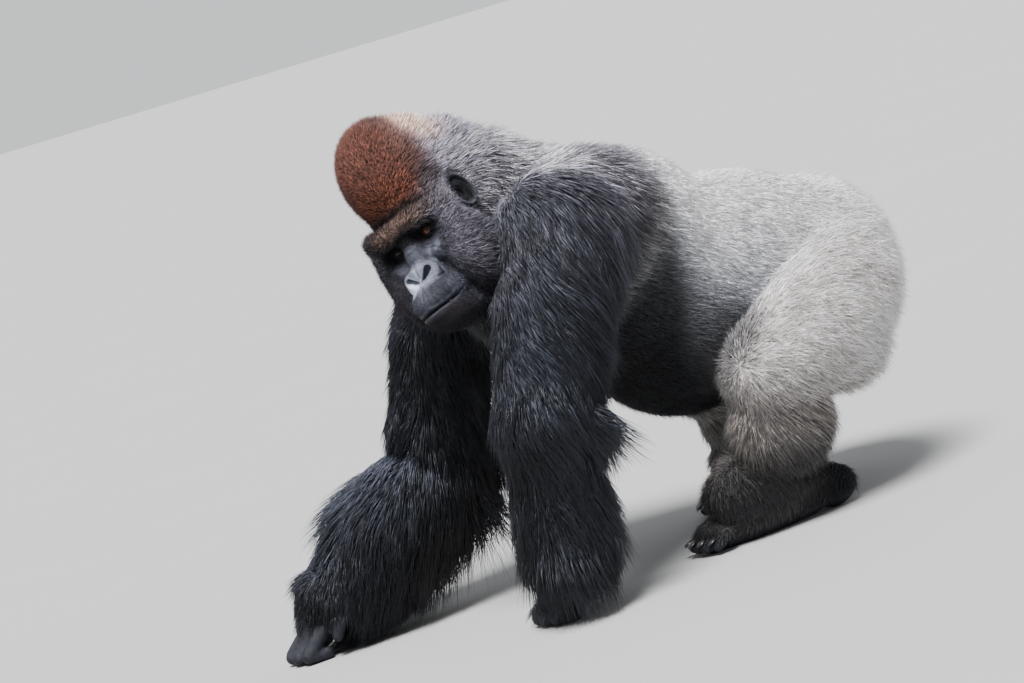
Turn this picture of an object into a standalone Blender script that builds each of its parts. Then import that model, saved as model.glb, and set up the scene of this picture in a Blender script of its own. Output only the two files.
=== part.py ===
"""Adult male gorilla walking on its knuckles, life-size, with its head turned to its left.

Metres, +Z up, floor at z = 0. The animal faces -Y and its left side is +X. Every solid
reaches to the tips of the coat. The body is modelled about a point between its feet and
is moved at the end, so that the middle of its base is the origin.
"""

import math

import bmesh
import bpy
from mathutils import Euler, Matrix, Vector

GAP = 0.0003
FAR = 3.0

# Cell size, smoothing rounds and triangles kept for each modelled mass.
TRUNK_CLAY = {"cell": 0.0135, "rounds": 9, "faces": 820}
HEAD_CLAY = {"cell": 0.0062, "rounds": 4, "faces": 1400}
ARM_CLAY = {"cell": 0.0085, "rounds": 4, "faces": 760}
LEG_CLAY = {"cell": 0.0095, "rounds": 4, "faces": 560}

# Trunk masses: centre, half sizes, nod about X in degrees.
TRUNK = {
    "rump": ((0.0, 0.030, 0.475), (0.195, 0.195, 0.200), -20),
    "buttock_left": ((0.085, 0.055, 0.430), (0.120, 0.135, 0.160), -10),
    "buttock_right": ((-0.085, 0.095, 0.430), (0.120, 0.135, 0.160), -10),
    "loins": ((0.0, -0.130, 0.510), (0.205, 0.260, 0.225), -24),
    "belly": ((0.0, -0.295, 0.505), (0.235, 0.235, 0.250), -20),
    "ribs": ((0.0, -0.410, 0.625), (0.262, 0.235, 0.243), -26),
    "chest": ((0.0, -0.560, 0.680), (0.245, 0.185, 0.210), -20),
    "withers": ((0.0, -0.560, 0.790), (0.185, 0.165, 0.128), -22),
    "blade_left": ((0.155, -0.505, 0.732), (0.128, 0.160, 0.155), -10),
    "blade_right": ((-0.155, -0.505, 0.732), (0.128, 0.160, 0.155), -10),
}

# Neck: a thick column from the withers to the back of the head.
NECK_LINE = ((0.0, -0.650, 0.845), (-0.005, -0.700, 0.868), (0.005, -0.745, 0.872))
NECK_HALF = (0.140, 0.136, 0.108)
THROAT_LINE = ((0.0, -0.640, 0.700), (0.020, -0.735, 0.745))
THROAT_HALF = (0.130, 0.105)

# Planes that part the trunk: a point on each and the way its front side faces.
NECK_CUT = ((0.0, -0.640, 0.820), (0.0, -1.0, 0.18))
CHEST_CUT = ((0.0, -0.420, 0.600), (0.0, -1.0, 0.30))
BELLY_CUT = ((0.0, -0.120, 0.520), (0.0, -1.0, 0.40))

# Head: its own frame has x to the animal's left, y to the back and z up, in this unit.
HEAD_UNIT = 0.0116
HEAD_CENTRE = (0.066, -0.784, 0.800)
HEAD_TURN = 35.4
HEAD_NOD = 3.8
HEAD_TILT = -20.9

# Head masses in head units: centre, half sizes, nod about x in degrees.
HEAD = {
    "skull": ((0.1, 0.3, 3.9), (9.2, 9.8, 9.5), 0),
    "crest": ((0.2, -1.5, 12.1), (8.8, 8.8, 10.8), 0),
    "crown": ((1.4, 2.3, 11.4), (8.6, 8.2, 10.8), 0),
    "nape": ((2.0, 5.6, 9.5), (8.8, 7.2, 11.0), 0),
    "temple_left": ((6.6, -4.2, 1.0), (2.9, 4.0, 4.4), 0),
    "temple_right": ((-6.6, -4.2, 1.0), (2.9, 4.0, 4.4), 0),
    "jowl_left": ((6.0, -3.2, -7.0), (4.7, 6.3, 8.0), 0),
    "jowl_right": ((-6.0, -3.2, -7.0), (4.7, 6.3, 8.0), 0),
    "face": ((0.0, -3.2, -5.0), (7.2, 6.5, 9.5), 0),
    "muzzle": ((0.0, -9.0, -9.8), (5.8, 7.0, 4.7), 12),
    "upper_lip": ((0.0, -12.9, -10.2), (4.6, 3.8, 2.7), 14),
    "lower_lip": ((0.0, -11.9, -12.8), (4.2, 4.5, 2.1), 0),
    "chin": ((0.0, -9.6, -14.0), (5.0, 5.6, 3.6), 0),
    "beard": ((0.0, -4.0, -13.2), (6.8, 7.0, 4.6), 0),
    "nose": ((0.0, -11.0, -5.8), (3.7, 2.0, 2.2), 0),
}
BROW_LINE = ((-7.3, -6.3, 2.7), (-3.5, -9.1, 3.4), (0.0, -9.4, 3.1), (3.5, -9.1, 3.4), (7.3, -6.3, 2.7))
BROW_HALF = (1.6, 1.9, 1.7, 1.9, 1.6)
NOSE_LINE = ((0.0, -8.6, 1.5), (0.0, -10.2, -3.2))
NOSE_HALF = (1.4, 1.6)
CHEEK_LINE = ((6.8, -4.6, -1.8), (4.2, -7.9, -4.0))
CHEEK_HALF = (2.2, 2.0)
SOCKET_AT = (3.65, -10.0, 0.0)
SOCKET_HALF = (2.4, 2.4, 1.45)
EYE_AT = (3.6, -7.1, 0.0)
EYE_RADIUS = 0.0155

# Mouth: the plane that parts the lower jaw, in head units.
MOUTH_CUT = ((0.0, -17.0, -11.9), (0.0, -0.06, 1.0))

# Ear, in head units: the shell and the hollow of its bowl.
EAR_AT = (9.1, 0.2, 2.5)
EAR_HALF = (0.95, 2.4, 3.6)
EAR_FLARE = -30
EAR_BOWL_SHIFT = (0.75, -0.5, 0.1)
EAR_BOWL_HALF = (0.6, 1.5, 2.2)

# Arms: joints from the shoulder to the knuckles, with the half thickness at each.
ARM_LEFT = {
    "upper": ((0.205, -0.585, 0.720), (0.250, -0.665, 0.600), (0.295, -0.765, 0.410)),
    "upper_half": (0.148, 0.132, 0.112),
    "fore": ((0.275, -0.775, 0.300), (0.252, -0.777, 0.170)),
    "fore_half": (0.104, 0.116),
    "hand": ((0.242, -0.785, 0.120), (0.220, -0.805, 0.062)),
    "hand_half": (0.100, 0.052),
    "elbow_tuft": ((0.290, -0.690, 0.360), (0.060, 0.050, 0.070)),
    "elbow_cut": ((0.285, -0.720, 0.400), (0.0, -0.35, -1.0)),
    "wrist_cut": ((0.240, -0.790, 0.105), (0.0, -0.2, -1.0)),
    "way": (-0.10, -1.0),
}
ARM_RIGHT = {
    "upper": ((-0.205, -0.600, 0.715), (-0.260, -0.700, 0.570), (-0.295, -0.760, 0.380)),
    "upper_half": (0.145, 0.118, 0.112),
    "fore": ((-0.300, -0.785, 0.290), (-0.305, -0.940, 0.200), (-0.315, -1.050, 0.120)),
    "fore_half": (0.122, 0.132, 0.108),
    "hand": ((-0.318, -1.095, 0.105), (-0.322, -1.140, 0.060)),
    "hand_half": (0.086, 0.052),
    "elbow_tuft": ((-0.290, -0.700, 0.300), (0.060, 0.060, 0.090)),
    "elbow_cut": ((-0.300, -0.800, 0.330), (0.0, -1.0, -0.80)),
    "wrist_cut": ((-0.315, -1.060, 0.120), (0.0, -1.0, -0.90)),
    "way": (-0.05, -1.0),
}

# Fingers are folded under, on the backs of their middle bones.
FINGER_SPREAD = (-0.043, -0.015, 0.015, 0.042)
FINGER_REACH = (0.052, 0.062, 0.058, 0.044)
FINGER_HALF = 0.019
FINGER_TUCK = 0.040
FINGER_LIFT = 0.014
KNUCKLE_HEIGHT = 0.062

# Legs: joints from the hip to the toes, with the half thickness at each.
LEG_LEFT = {
    "thigh": ((0.115, 0.000, 0.430), (0.185, -0.100, 0.385), (0.215, -0.225, 0.335)),
    "thigh_half": (0.165, 0.150, 0.125),
    "masses": {
        "hamstring": ((0.160, -0.030, 0.325), (0.110, 0.120, 0.115)),
        "calf": ((0.200, -0.225, 0.225), (0.098, 0.122, 0.130)),
        "instep": ((0.165, -0.312, 0.108), (0.072, 0.132, 0.080)),
        "heel": ((0.145, -0.135, 0.045), (0.050, 0.060, 0.050)),
    },
    "foot": ((0.150, -0.200, 0.060), (0.142, -0.340, 0.045), (0.135, -0.425, 0.030)),
    "foot_half": (0.062, 0.058, 0.042),
    "big_toe": ((0.110, -0.300, 0.030), (0.078, -0.385, 0.026)),
    "big_toe_half": (0.034, 0.026),
    "knee_cut": ((0.205, -0.250, 0.270), (0.0, -0.45, -1.0)),
    "ankle_cut": ((0.155, -0.170, 0.095), (0.0, -0.20, -1.0)),
}
LEG_RIGHT = {
    "thigh": ((-0.120, 0.040, 0.430), (-0.165, -0.050, 0.380), (-0.175, -0.180, 0.310)),
    "thigh_half": (0.165, 0.150, 0.112),
    "masses": {
        "hamstring": ((-0.160, 0.010, 0.335), (0.110, 0.120, 0.115)),
        "calf": ((-0.185, -0.115, 0.210), (0.092, 0.115, 0.130)),
        "instep": ((-0.195, -0.125, 0.110), (0.070, 0.105, 0.075)),
        "heel": ((-0.190, -0.010, 0.045), (0.050, 0.060, 0.050)),
    },
    "foot": ((-0.200, -0.050, 0.060), (-0.208, -0.150, 0.045), (-0.213, -0.215, 0.030)),
    "foot_half": (0.060, 0.056, 0.042),
    "big_toe": ((-0.172, -0.110, 0.030), (-0.148, -0.185, 0.026)),
    "big_toe_half": (0.034, 0.026),
    "knee_cut": ((-0.175, -0.180, 0.260), (0.0, -0.45, -1.0)),
    "ankle_cut": ((-0.200, -0.060, 0.095), (0.0, -0.20, -1.0)),
}

SPHERE_GRAIN = (32, 20)
SOCKET_GRAIN = (12, 8)
EYE_GRAIN = (12, 8)
EAR_GRAIN = (10, 7)
CAP_SEGMENTS = 28
SMOOTHING = 0.5

# Finishes: colour, roughness, metallic.
FINISHES = {
    "head": ((0.050, 0.030, 0.024), 0.80, 0.0),
    "lower_jaw": ((0.030, 0.028, 0.030), 0.75, 0.0),
    "neck": ((0.075, 0.066, 0.066), 0.85, 0.0),
    "chest": ((0.030, 0.030, 0.034), 0.85, 0.0),
    "belly": ((0.170, 0.170, 0.185), 0.85, 0.0),
    "rump": ((0.300, 0.295, 0.300), 0.85, 0.0),
    "upper_arm": ((0.020, 0.020, 0.024), 0.80, 0.0),
    "forearm": ((0.016, 0.016, 0.019), 0.80, 0.0),
    "hand": ((0.012, 0.012, 0.014), 0.65, 0.0),
    "thigh": ((0.230, 0.215, 0.205), 0.85, 0.0),
    "shin": ((0.110, 0.098, 0.092), 0.85, 0.0),
    "foot": ((0.014, 0.013, 0.014), 0.65, 0.0),
    "ear": ((0.040, 0.034, 0.034), 0.60, 0.0),
    "eye": ((0.060, 0.022, 0.008), 0.12, 0.0),
}


def fresh_scene():
    """Empties the scene and makes the collections for the animal and for its cutters."""
    for obj in list(bpy.data.objects):
        bpy.data.objects.remove(obj)
    body = bpy.data.collections.new("gorilla")
    cutters = bpy.data.collections.new("cutters")
    for collection in (body, cutters):
        bpy.context.scene.collection.children.link(collection)
    cutters.hide_render = True
    return body, cutters


def finish_of(kind):
    """The material of one kind of sub-part."""
    found = bpy.data.materials.get(kind)
    if found:
        return found
    colour, roughness, metallic = FINISHES[kind]
    material = bpy.data.materials.new(kind)
    material.use_nodes = True
    shader = material.node_tree.nodes["Principled BSDF"]
    shader.inputs["Base Color"].default_value = (*colour, 1.0)
    shader.inputs["Roughness"].default_value = roughness
    shader.inputs["Metallic"].default_value = metallic
    material.diffuse_color = (*colour, 1.0)
    return material


def add_ball(clay, centre, half, turn=(0.0, 0.0, 0.0), frame=Matrix.Identity(4), grain=SPHERE_GRAIN):
    """Adds an ellipsoid to the clay, turned by degrees about its own axes."""
    spin = Euler([math.radians(angle) for angle in turn]).to_matrix().to_4x4()
    place = frame @ Matrix.Translation(centre) @ spin @ Matrix.Diagonal((*half, 1.0))
    bmesh.ops.create_uvsphere(clay, u_segments=grain[0], v_segments=grain[1], radius=1.0, matrix=place)


def add_limb(clay, line, halves, frame=Matrix.Identity(4)):
    """Adds a chain of tapered round bars with ball joints along the line."""
    points = [frame @ Vector(point) for point in line]
    unit = frame.to_scale().x
    for point, half in zip(points, halves):
        add_ball(clay, point, (half * unit,) * 3)
    for start, end, first, last in zip(points, points[1:], halves, halves[1:]):
        along = end - start
        place = Matrix.Translation((start + end) / 2) @ along.to_track_quat("Z", "Y").to_matrix().to_4x4()
        bmesh.ops.create_cone(
            clay,
            cap_ends=True,
            segments=CAP_SEGMENTS,
            radius1=first * unit,
            radius2=last * unit,
            depth=along.length,
            matrix=place,
        )


def mesh_object(name, clay, collection):
    """Turns the clay into an object of the collection."""
    mesh = bpy.data.meshes.new(name)
    clay.to_mesh(mesh)
    clay.free()
    made = bpy.data.objects.new(name, mesh)
    collection.objects.link(made)
    return made


def settle(made):
    """Makes the result of the object's modifiers its own mesh."""
    bpy.context.view_layer.update()
    evaluated = made.evaluated_get(bpy.context.evaluated_depsgraph_get())
    mesh = bpy.data.meshes.new_from_object(evaluated)
    made.modifiers.clear()
    made.data = mesh
    return made


def model(name, clay, collection, cell, rounds, faces):
    """Fuses the clay into one smooth closed body with about the given number of triangles."""
    made = mesh_object(name, clay, collection)
    fuse = made.modifiers.new("fuse", "REMESH")
    fuse.mode = "VOXEL"
    fuse.voxel_size = cell
    soften = made.modifiers.new("soften", "SMOOTH")
    soften.factor = SMOOTHING
    soften.iterations = rounds
    settle(made)
    triangles = sum(len(face.vertices) - 2 for face in made.data.polygons)
    thin = made.modifiers.new("thin", "DECIMATE")
    thin.ratio = min(1.0, faces / triangles)
    thin.use_collapse_triangulate = True
    return settle(made)


def carve(made, cutter, operation="DIFFERENCE"):
    """Applies one Boolean to the object."""
    cut = made.modifiers.new("cut", "BOOLEAN")
    cut.operation = operation
    cut.solver = "EXACT"
    cut.object = cutter
    return settle(made)


def keep_largest(made):
    """Drops the loose flakes that a cut left beside the main body."""
    clay = bmesh.new()
    clay.from_mesh(made.data)
    left = set(clay.verts)
    shells = []
    while left:
        front = [left.pop()]
        shell = set(front)
        while front:
            here = front.pop()
            ring = [edge.other_vert(here) for edge in here.link_edges]
            fresh = [vertex for vertex in ring if vertex in left]
            left.difference_update(fresh)
            shell.update(fresh)
            front.extend(fresh)
        shells.append(shell)
    largest = max(shells, key=len)
    flakes = [vertex for vertex in clay.verts if vertex not in largest]
    bmesh.ops.delete(clay, geom=flakes, context="VERTS")
    clay.to_mesh(made.data)
    clay.free()
    return made


def half_space(name, plane, shift, cutters):
    """A big block whose near face lies on the plane, moved along its normal by shift."""
    point, normal = Vector(plane[0]), Vector(plane[1]).normalized()
    clay = bmesh.new()
    turn = normal.to_track_quat("Z", "Y").to_matrix().to_4x4()
    place = Matrix.Translation(point + normal * (shift + FAR / 2)) @ turn
    bmesh.ops.create_cube(clay, size=FAR, matrix=place)
    block = mesh_object(name, clay, cutters)
    block.display_type = "WIRE"
    return block


def part_at(made, plane, front_name, cutters):
    """Parts the body at the plane, leaving a gap. The front piece is returned, the rest stays."""
    front = made.copy()
    front.data = made.data.copy()
    front.name = front_name
    made.users_collection[0].objects.link(front)
    ahead = half_space(front_name + "_ahead", plane, -GAP / 2, cutters)
    carve(made, ahead)
    within = half_space(front_name + "_within", plane, GAP / 2, cutters)
    carve(front, within, "INTERSECT")
    for block in (ahead, within):
        bpy.data.objects.remove(block)
    return front


def swollen(made, name, margin, cutters):
    """A copy of the object grown by the margin, for cutting room around it."""
    grown = made.copy()
    grown.data = made.data.copy()
    grown.name = name
    grown.display_type = "WIRE"
    cutters.objects.link(grown)
    normals = [vertex.normal.copy() for vertex in grown.data.vertices]
    for vertex, normal in zip(grown.data.vertices, normals):
        vertex.co += normal * margin
    return grown


def level_feet(made, cutters):
    """Cuts the body off flat at the floor."""
    below = half_space(made.name + "_floor", ((0.0, 0.0, 0.0), (0.0, 0.0, -1.0)), 0.0, cutters)
    carve(made, below)
    bpy.data.objects.remove(below)


def head_frame():
    """The head's own frame: head units, turned to the animal's left, nodding and tilted."""
    turn = Matrix.Rotation(math.radians(HEAD_TURN), 4, "Z")
    nod = Matrix.Rotation(math.radians(HEAD_NOD), 4, "X")
    tilt = Matrix.Rotation(math.radians(HEAD_TILT), 4, "Y")
    return Matrix.Translation(HEAD_CENTRE) @ turn @ nod @ tilt @ Matrix.Scale(HEAD_UNIT, 4)


def mirrored(point):
    """The same point on the other side of the head."""
    return (-point[0], point[1], point[2])


def plane_in(frame, plane):
    """A plane of the head's frame in the body's frame."""
    return frame @ Vector(plane[0]), frame.to_3x3() @ Vector(plane[1])


def make_trunk(body, cutters):
    """Rump, belly, chest and neck, parted across."""
    clay = bmesh.new()
    for centre, half, nod in TRUNK.values():
        add_ball(clay, centre, half, (nod, 0.0, 0.0))
    add_limb(clay, NECK_LINE, NECK_HALF)
    add_limb(clay, THROAT_LINE, THROAT_HALF)
    rump = model("rump", clay, body, **TRUNK_CLAY)
    whole = swollen(rump, "trunk_room", GAP, cutters)
    belly = part_at(rump, BELLY_CUT, "belly", cutters)
    chest = part_at(belly, CHEST_CUT, "chest", cutters)
    neck = part_at(chest, NECK_CUT, "neck", cutters)
    return {"rump": rump, "belly": belly, "chest": chest, "neck": neck}, whole


def make_head(body, cutters, neck):
    """The head with its brow, sockets and muzzle, its lower jaw, ears and eyes."""
    frame = head_frame()
    clay = bmesh.new()
    for centre, half, nod in HEAD.values():
        add_ball(clay, centre, half, (nod, 0.0, 0.0), frame)
    add_limb(clay, BROW_LINE, BROW_HALF, frame)
    add_limb(clay, NOSE_LINE, NOSE_HALF, frame)
    for side in (tuple, mirrored):
        add_limb(clay, [side(point) for point in CHEEK_LINE], CHEEK_HALF, frame)
    head = model("head", clay, body, **HEAD_CLAY)
    made = {"head": head}
    sockets = bmesh.new()
    for side in (tuple, mirrored):
        add_ball(sockets, side(SOCKET_AT), SOCKET_HALF, frame=frame, grain=SOCKET_GRAIN)
    hollow = mesh_object("sockets", sockets, cutters)
    carve(head, hollow)
    bpy.data.objects.remove(hollow)
    room = swollen(head, "head_room", GAP, cutters)
    carve(neck, room)
    for side, tag in ((tuple, "left"), (mirrored, "right")):
        ear = make_ear(side, tag, frame, room, body, cutters)
        carve(neck, swollen(ear, "ear_room_" + tag, GAP, cutters))
        made["ear_" + tag] = ear
        made["eye_" + tag] = make_eye(side, tag, frame, head, body, cutters)
    keep_largest(neck)
    bpy.data.objects.remove(room)
    upper = part_at(head, plane_in(frame, MOUTH_CUT), "upper_head", cutters)
    head.name = "lower_jaw"
    upper.name = "head"
    made["head"] = upper
    made["lower_jaw"] = head
    return made


def make_ear(side, tag, frame, room, body, cutters):
    """A small rounded ear with a hollow bowl, set against the side of the head."""
    lean = EAR_FLARE if tag == "left" else -EAR_FLARE
    at = Vector(side(EAR_AT))
    clay = bmesh.new()
    add_ball(clay, at, EAR_HALF, (0.0, 0.0, lean), frame, EAR_GRAIN)
    ear = mesh_object("ear_" + tag, clay, body)
    bowl = bmesh.new()
    add_ball(bowl, at + Vector(side(EAR_BOWL_SHIFT)), EAR_BOWL_HALF, (0.0, 0.0, lean), frame, EAR_GRAIN)
    hollow = mesh_object("bowl_" + tag, bowl, cutters)
    carve(ear, hollow)
    bpy.data.objects.remove(hollow)
    return carve(ear, room)


def make_eye(side, tag, frame, head, body, cutters):
    """An eyeball, with room for it cut in the head."""
    at = frame @ Vector(side(EYE_AT))
    balls = (("eye_" + tag, EYE_RADIUS, body), ("room_" + tag, EYE_RADIUS + GAP, cutters))
    for name, radius, where in balls:
        clay = bmesh.new()
        add_ball(clay, at, (radius,) * 3, grain=EYE_GRAIN)
        ball = mesh_object(name, clay, where)
        if where is cutters:
            carve(head, ball)
            bpy.data.objects.remove(ball)
    return bpy.data.objects["eye_" + tag]


def add_fingers(clay, hand, way):
    """Four fingers folded under the hand, resting on the backs of their middle bones."""
    ahead = Vector((*way, 0.0)).normalized()
    aside = Vector((-ahead.y, ahead.x, 0.0))
    knuckle = Vector((*hand[-1][:2], 0.0))
    for spread, reach in zip(FINGER_SPREAD, FINGER_REACH):
        root = knuckle + aside * spread + Vector((0.0, 0.0, KNUCKLE_HEIGHT))
        bend = knuckle + aside * spread + ahead * reach + Vector((0.0, 0.0, FINGER_LIFT))
        tip = bend - ahead * FINGER_TUCK
        add_limb(clay, (root, bend, tip), (FINGER_HALF,) * 3)


def make_arm(tag, arm, room, body, cutters):
    """Upper arm, forearm and hand."""
    clay = bmesh.new()
    add_limb(clay, arm["upper"], arm["upper_half"])
    add_limb(clay, (arm["upper"][-1], *arm["fore"]), (arm["upper_half"][-1], *arm["fore_half"]))
    add_limb(clay, arm["hand"], arm["hand_half"])
    add_ball(clay, *arm["elbow_tuft"])
    add_fingers(clay, arm["hand"], arm["way"])
    upper = model("upper_arm_" + tag, clay, body, **ARM_CLAY)
    level_feet(upper, cutters)
    for block in room:
        carve(upper, block)
    keep_largest(upper)
    fore = part_at(upper, arm["elbow_cut"], "forearm_" + tag, cutters)
    hand = part_at(fore, arm["wrist_cut"], "hand_" + tag, cutters)
    return {made.name: made for made in (upper, fore, hand)}


def make_leg(tag, leg, room, body, cutters):
    """Thigh, shin and foot."""
    clay = bmesh.new()
    add_limb(clay, leg["thigh"], leg["thigh_half"])
    for centre, half in leg["masses"].values():
        add_ball(clay, centre, half)
    add_limb(clay, leg["foot"], leg["foot_half"])
    add_limb(clay, leg["big_toe"], leg["big_toe_half"])
    thigh = model("thigh_" + tag, clay, body, **LEG_CLAY)
    level_feet(thigh, cutters)
    for block in room:
        carve(thigh, block)
    keep_largest(thigh)
    shin = part_at(thigh, leg["knee_cut"], "shin_" + tag, cutters)
    foot = part_at(shin, leg["ankle_cut"], "foot_" + tag, cutters)
    return {made.name: made for made in (thigh, shin, foot)}


def kind_of(name):
    """The kind of sub-part, without its side."""
    return name.removesuffix("_left").removesuffix("_right")


def centre_on_base(solids):
    """Moves every solid so that the middle of the base of the whole is the origin."""
    corners = [vertex.co for made in solids for vertex in made.data.vertices]
    middle = [(min(p[axis] for p in corners) + max(p[axis] for p in corners)) / 2 for axis in (0, 1)]
    low = min(point.z for point in corners)
    shift = Matrix.Translation((-middle[0], -middle[1], -low))
    for made in solids:
        made.data.transform(shift)


def main():
    """Models the animal, parts it into its sub-parts and colours each."""
    body, cutters = fresh_scene()
    made, trunk_room = make_trunk(body, cutters)
    made.update(make_head(body, cutters, made["neck"]))
    head_room = [swollen(made[name], name + "_room", GAP, cutters) for name in ("head", "lower_jaw")]
    for tag, arm in (("left", ARM_LEFT), ("right", ARM_RIGHT)):
        made.update(make_arm(tag, arm, [trunk_room, *head_room], body, cutters))
    for tag, leg in (("left", LEG_LEFT), ("right", LEG_RIGHT)):
        made.update(make_leg(tag, leg, [trunk_room], body, cutters))
    for block in list(cutters.objects):
        bpy.data.objects.remove(block)
    for name, solid in made.items():
        solid.data.materials.clear()
        solid.data.materials.append(finish_of(kind_of(name)))
        for face in solid.data.polygons:
            face.use_smooth = True
    centre_on_base(list(made.values()))


main()
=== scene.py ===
"""A silverback gorilla on the move, life size: one skin, a coat of solid tufts, eyes and nails."""

import logging
import math
from dataclasses import dataclass
from enum import Enum

import bmesh
import bpy
import numpy as np
from mathutils import Matrix, Vector


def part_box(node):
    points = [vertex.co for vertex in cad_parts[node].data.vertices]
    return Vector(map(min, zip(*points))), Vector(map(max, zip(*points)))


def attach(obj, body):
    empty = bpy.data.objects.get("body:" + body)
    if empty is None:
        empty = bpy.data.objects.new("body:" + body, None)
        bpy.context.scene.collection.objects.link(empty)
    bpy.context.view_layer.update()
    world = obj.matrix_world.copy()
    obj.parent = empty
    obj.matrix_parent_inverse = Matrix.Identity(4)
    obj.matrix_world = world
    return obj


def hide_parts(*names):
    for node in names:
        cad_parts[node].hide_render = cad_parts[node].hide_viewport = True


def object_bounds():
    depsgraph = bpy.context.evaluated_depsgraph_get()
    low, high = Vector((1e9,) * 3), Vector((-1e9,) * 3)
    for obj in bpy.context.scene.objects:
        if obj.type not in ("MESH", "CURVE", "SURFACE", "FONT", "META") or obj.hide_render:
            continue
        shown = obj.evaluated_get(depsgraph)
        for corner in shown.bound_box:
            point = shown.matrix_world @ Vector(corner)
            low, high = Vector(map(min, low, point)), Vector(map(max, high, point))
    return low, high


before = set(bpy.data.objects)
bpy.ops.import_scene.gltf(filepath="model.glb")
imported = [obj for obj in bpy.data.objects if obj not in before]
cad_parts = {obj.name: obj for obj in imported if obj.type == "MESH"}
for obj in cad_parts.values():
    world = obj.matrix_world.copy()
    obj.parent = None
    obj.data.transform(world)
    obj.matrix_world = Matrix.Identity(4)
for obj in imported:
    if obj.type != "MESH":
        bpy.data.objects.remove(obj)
CAD_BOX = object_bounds()

Array = np.ndarray
Point = tuple[float, float, float]
Colour = tuple[float, float, float]
Socket = bpy.types.NodeSocket

LOG = logging.getLogger("gorilla")
SEED = 41

# The head's own frame: x to its left, y backwards, z up, in head units.
HEAD_UNIT = 0.0116
HEAD_CENTRE = (0.066, -0.784, 0.8)
HEAD_TURN = 35.4
HEAD_NOD = 3.8
HEAD_TILT = -20.9
EYE_AT = (3.6, -7.1, 0.0)
EAR_AT = (9.1, 0.2, 2.5)
EAR_HALF = (0.95, 2.2, 3.7)
EAR_NOD = 14.0
EAR_SPIN = -30.0
# The least share of a mass that the coat's depth leaves.
LEAST_CORE = 0.15


class Region(Enum):
    """The parts of the body by how their coat grows."""

    CREST = 0
    NAPE = 1
    FACE = 2
    CHEEK = 3
    EAR = 4
    NECK = 5
    SADDLE = 6
    BELLY = 7
    RUMP = 8
    ARM = 9
    FOREARM = 10
    HAND = 11
    THIGH = 12
    SHIN = 13
    FOOT = 14


@dataclass(frozen=True)
class Growth:
    """How the hair of one region grows; sizes in metres.

    Args:
        depth: how far the skin lies inside the solids.
        length: how long a tuft is.
        width: how wide it is.
        density: tufts to a square metre.
        lift: how steeply tufts stand off the skin.
        stray: how much they differ in direction.
        pull: how far their tips draw together into locks.
        lie: the way they lie, in the head's axes on the head.
        colour: their colour before the markings.
    """

    depth: float
    length: float
    width: float
    density: float
    lift: float
    stray: float
    pull: float
    lie: Point
    colour: Colour


BLACK = (0.003, 0.003, 0.004)
INK = (0.004, 0.0046, 0.0066)
SLATE = (0.0122, 0.0137, 0.0202)
# A painted sky reflection on the tops of the upper arms.
PAINTED_SHEEN_GREY = (0.068, 0.0688, 0.0896)
GREY_SKIN = (0.0238, 0.0252, 0.035)
DIGIT_SKIN = (0.0135, 0.014, 0.019)
NOSE_SKIN = (0.108, 0.1166, 0.1548)
EAR_SKIN = (0.03, 0.03, 0.04)
# Paler grey skin; it is also a painted light under the left eye and a painted highlight on the philtrum.
PALE_SKIN_AND_PAINTED_LIGHT = (0.0612, 0.0648, 0.0864)
# A painted highlight on the right wing of the nose.
PAINTED_LOBE_HIGHLIGHT = (0.46, 0.49, 0.6)
# Painted shade in the fold before the left thigh.
PAINTED_FOLD_SHADE = (0.042, 0.0406, 0.0448)
CHIN_SKIN = (0.0202, 0.0158, 0.0187)
GRIZZLE = (0.108, 0.101, 0.126)
PALE_GRIZZLE = (0.64, 0.6, 0.69)
NAPE_GREY = (0.3, 0.28, 0.33)
CHESTNUT = (0.08, 0.04, 0.032)
RUST = (0.094, 0.034, 0.023)
BRIGHT_RUST = (0.155, 0.053, 0.031)
BURNT = (0.0236, 0.0114, 0.0091)
DUSK = (0.031, 0.0248, 0.0273)
SANDY = (0.8, 0.47, 0.36)
TAN = (0.135, 0.082, 0.06)
BROW_GREY = (0.0462, 0.0376, 0.0409)
SILVER = (0.94, 0.93, 0.96)
BLUE_GREY = (0.38, 0.395, 0.45)
OATMEAL = (0.9, 0.84, 0.82)
MOUSE = (0.31, 0.28, 0.26)
UMBER = (0.015, 0.0125, 0.0115)

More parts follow.
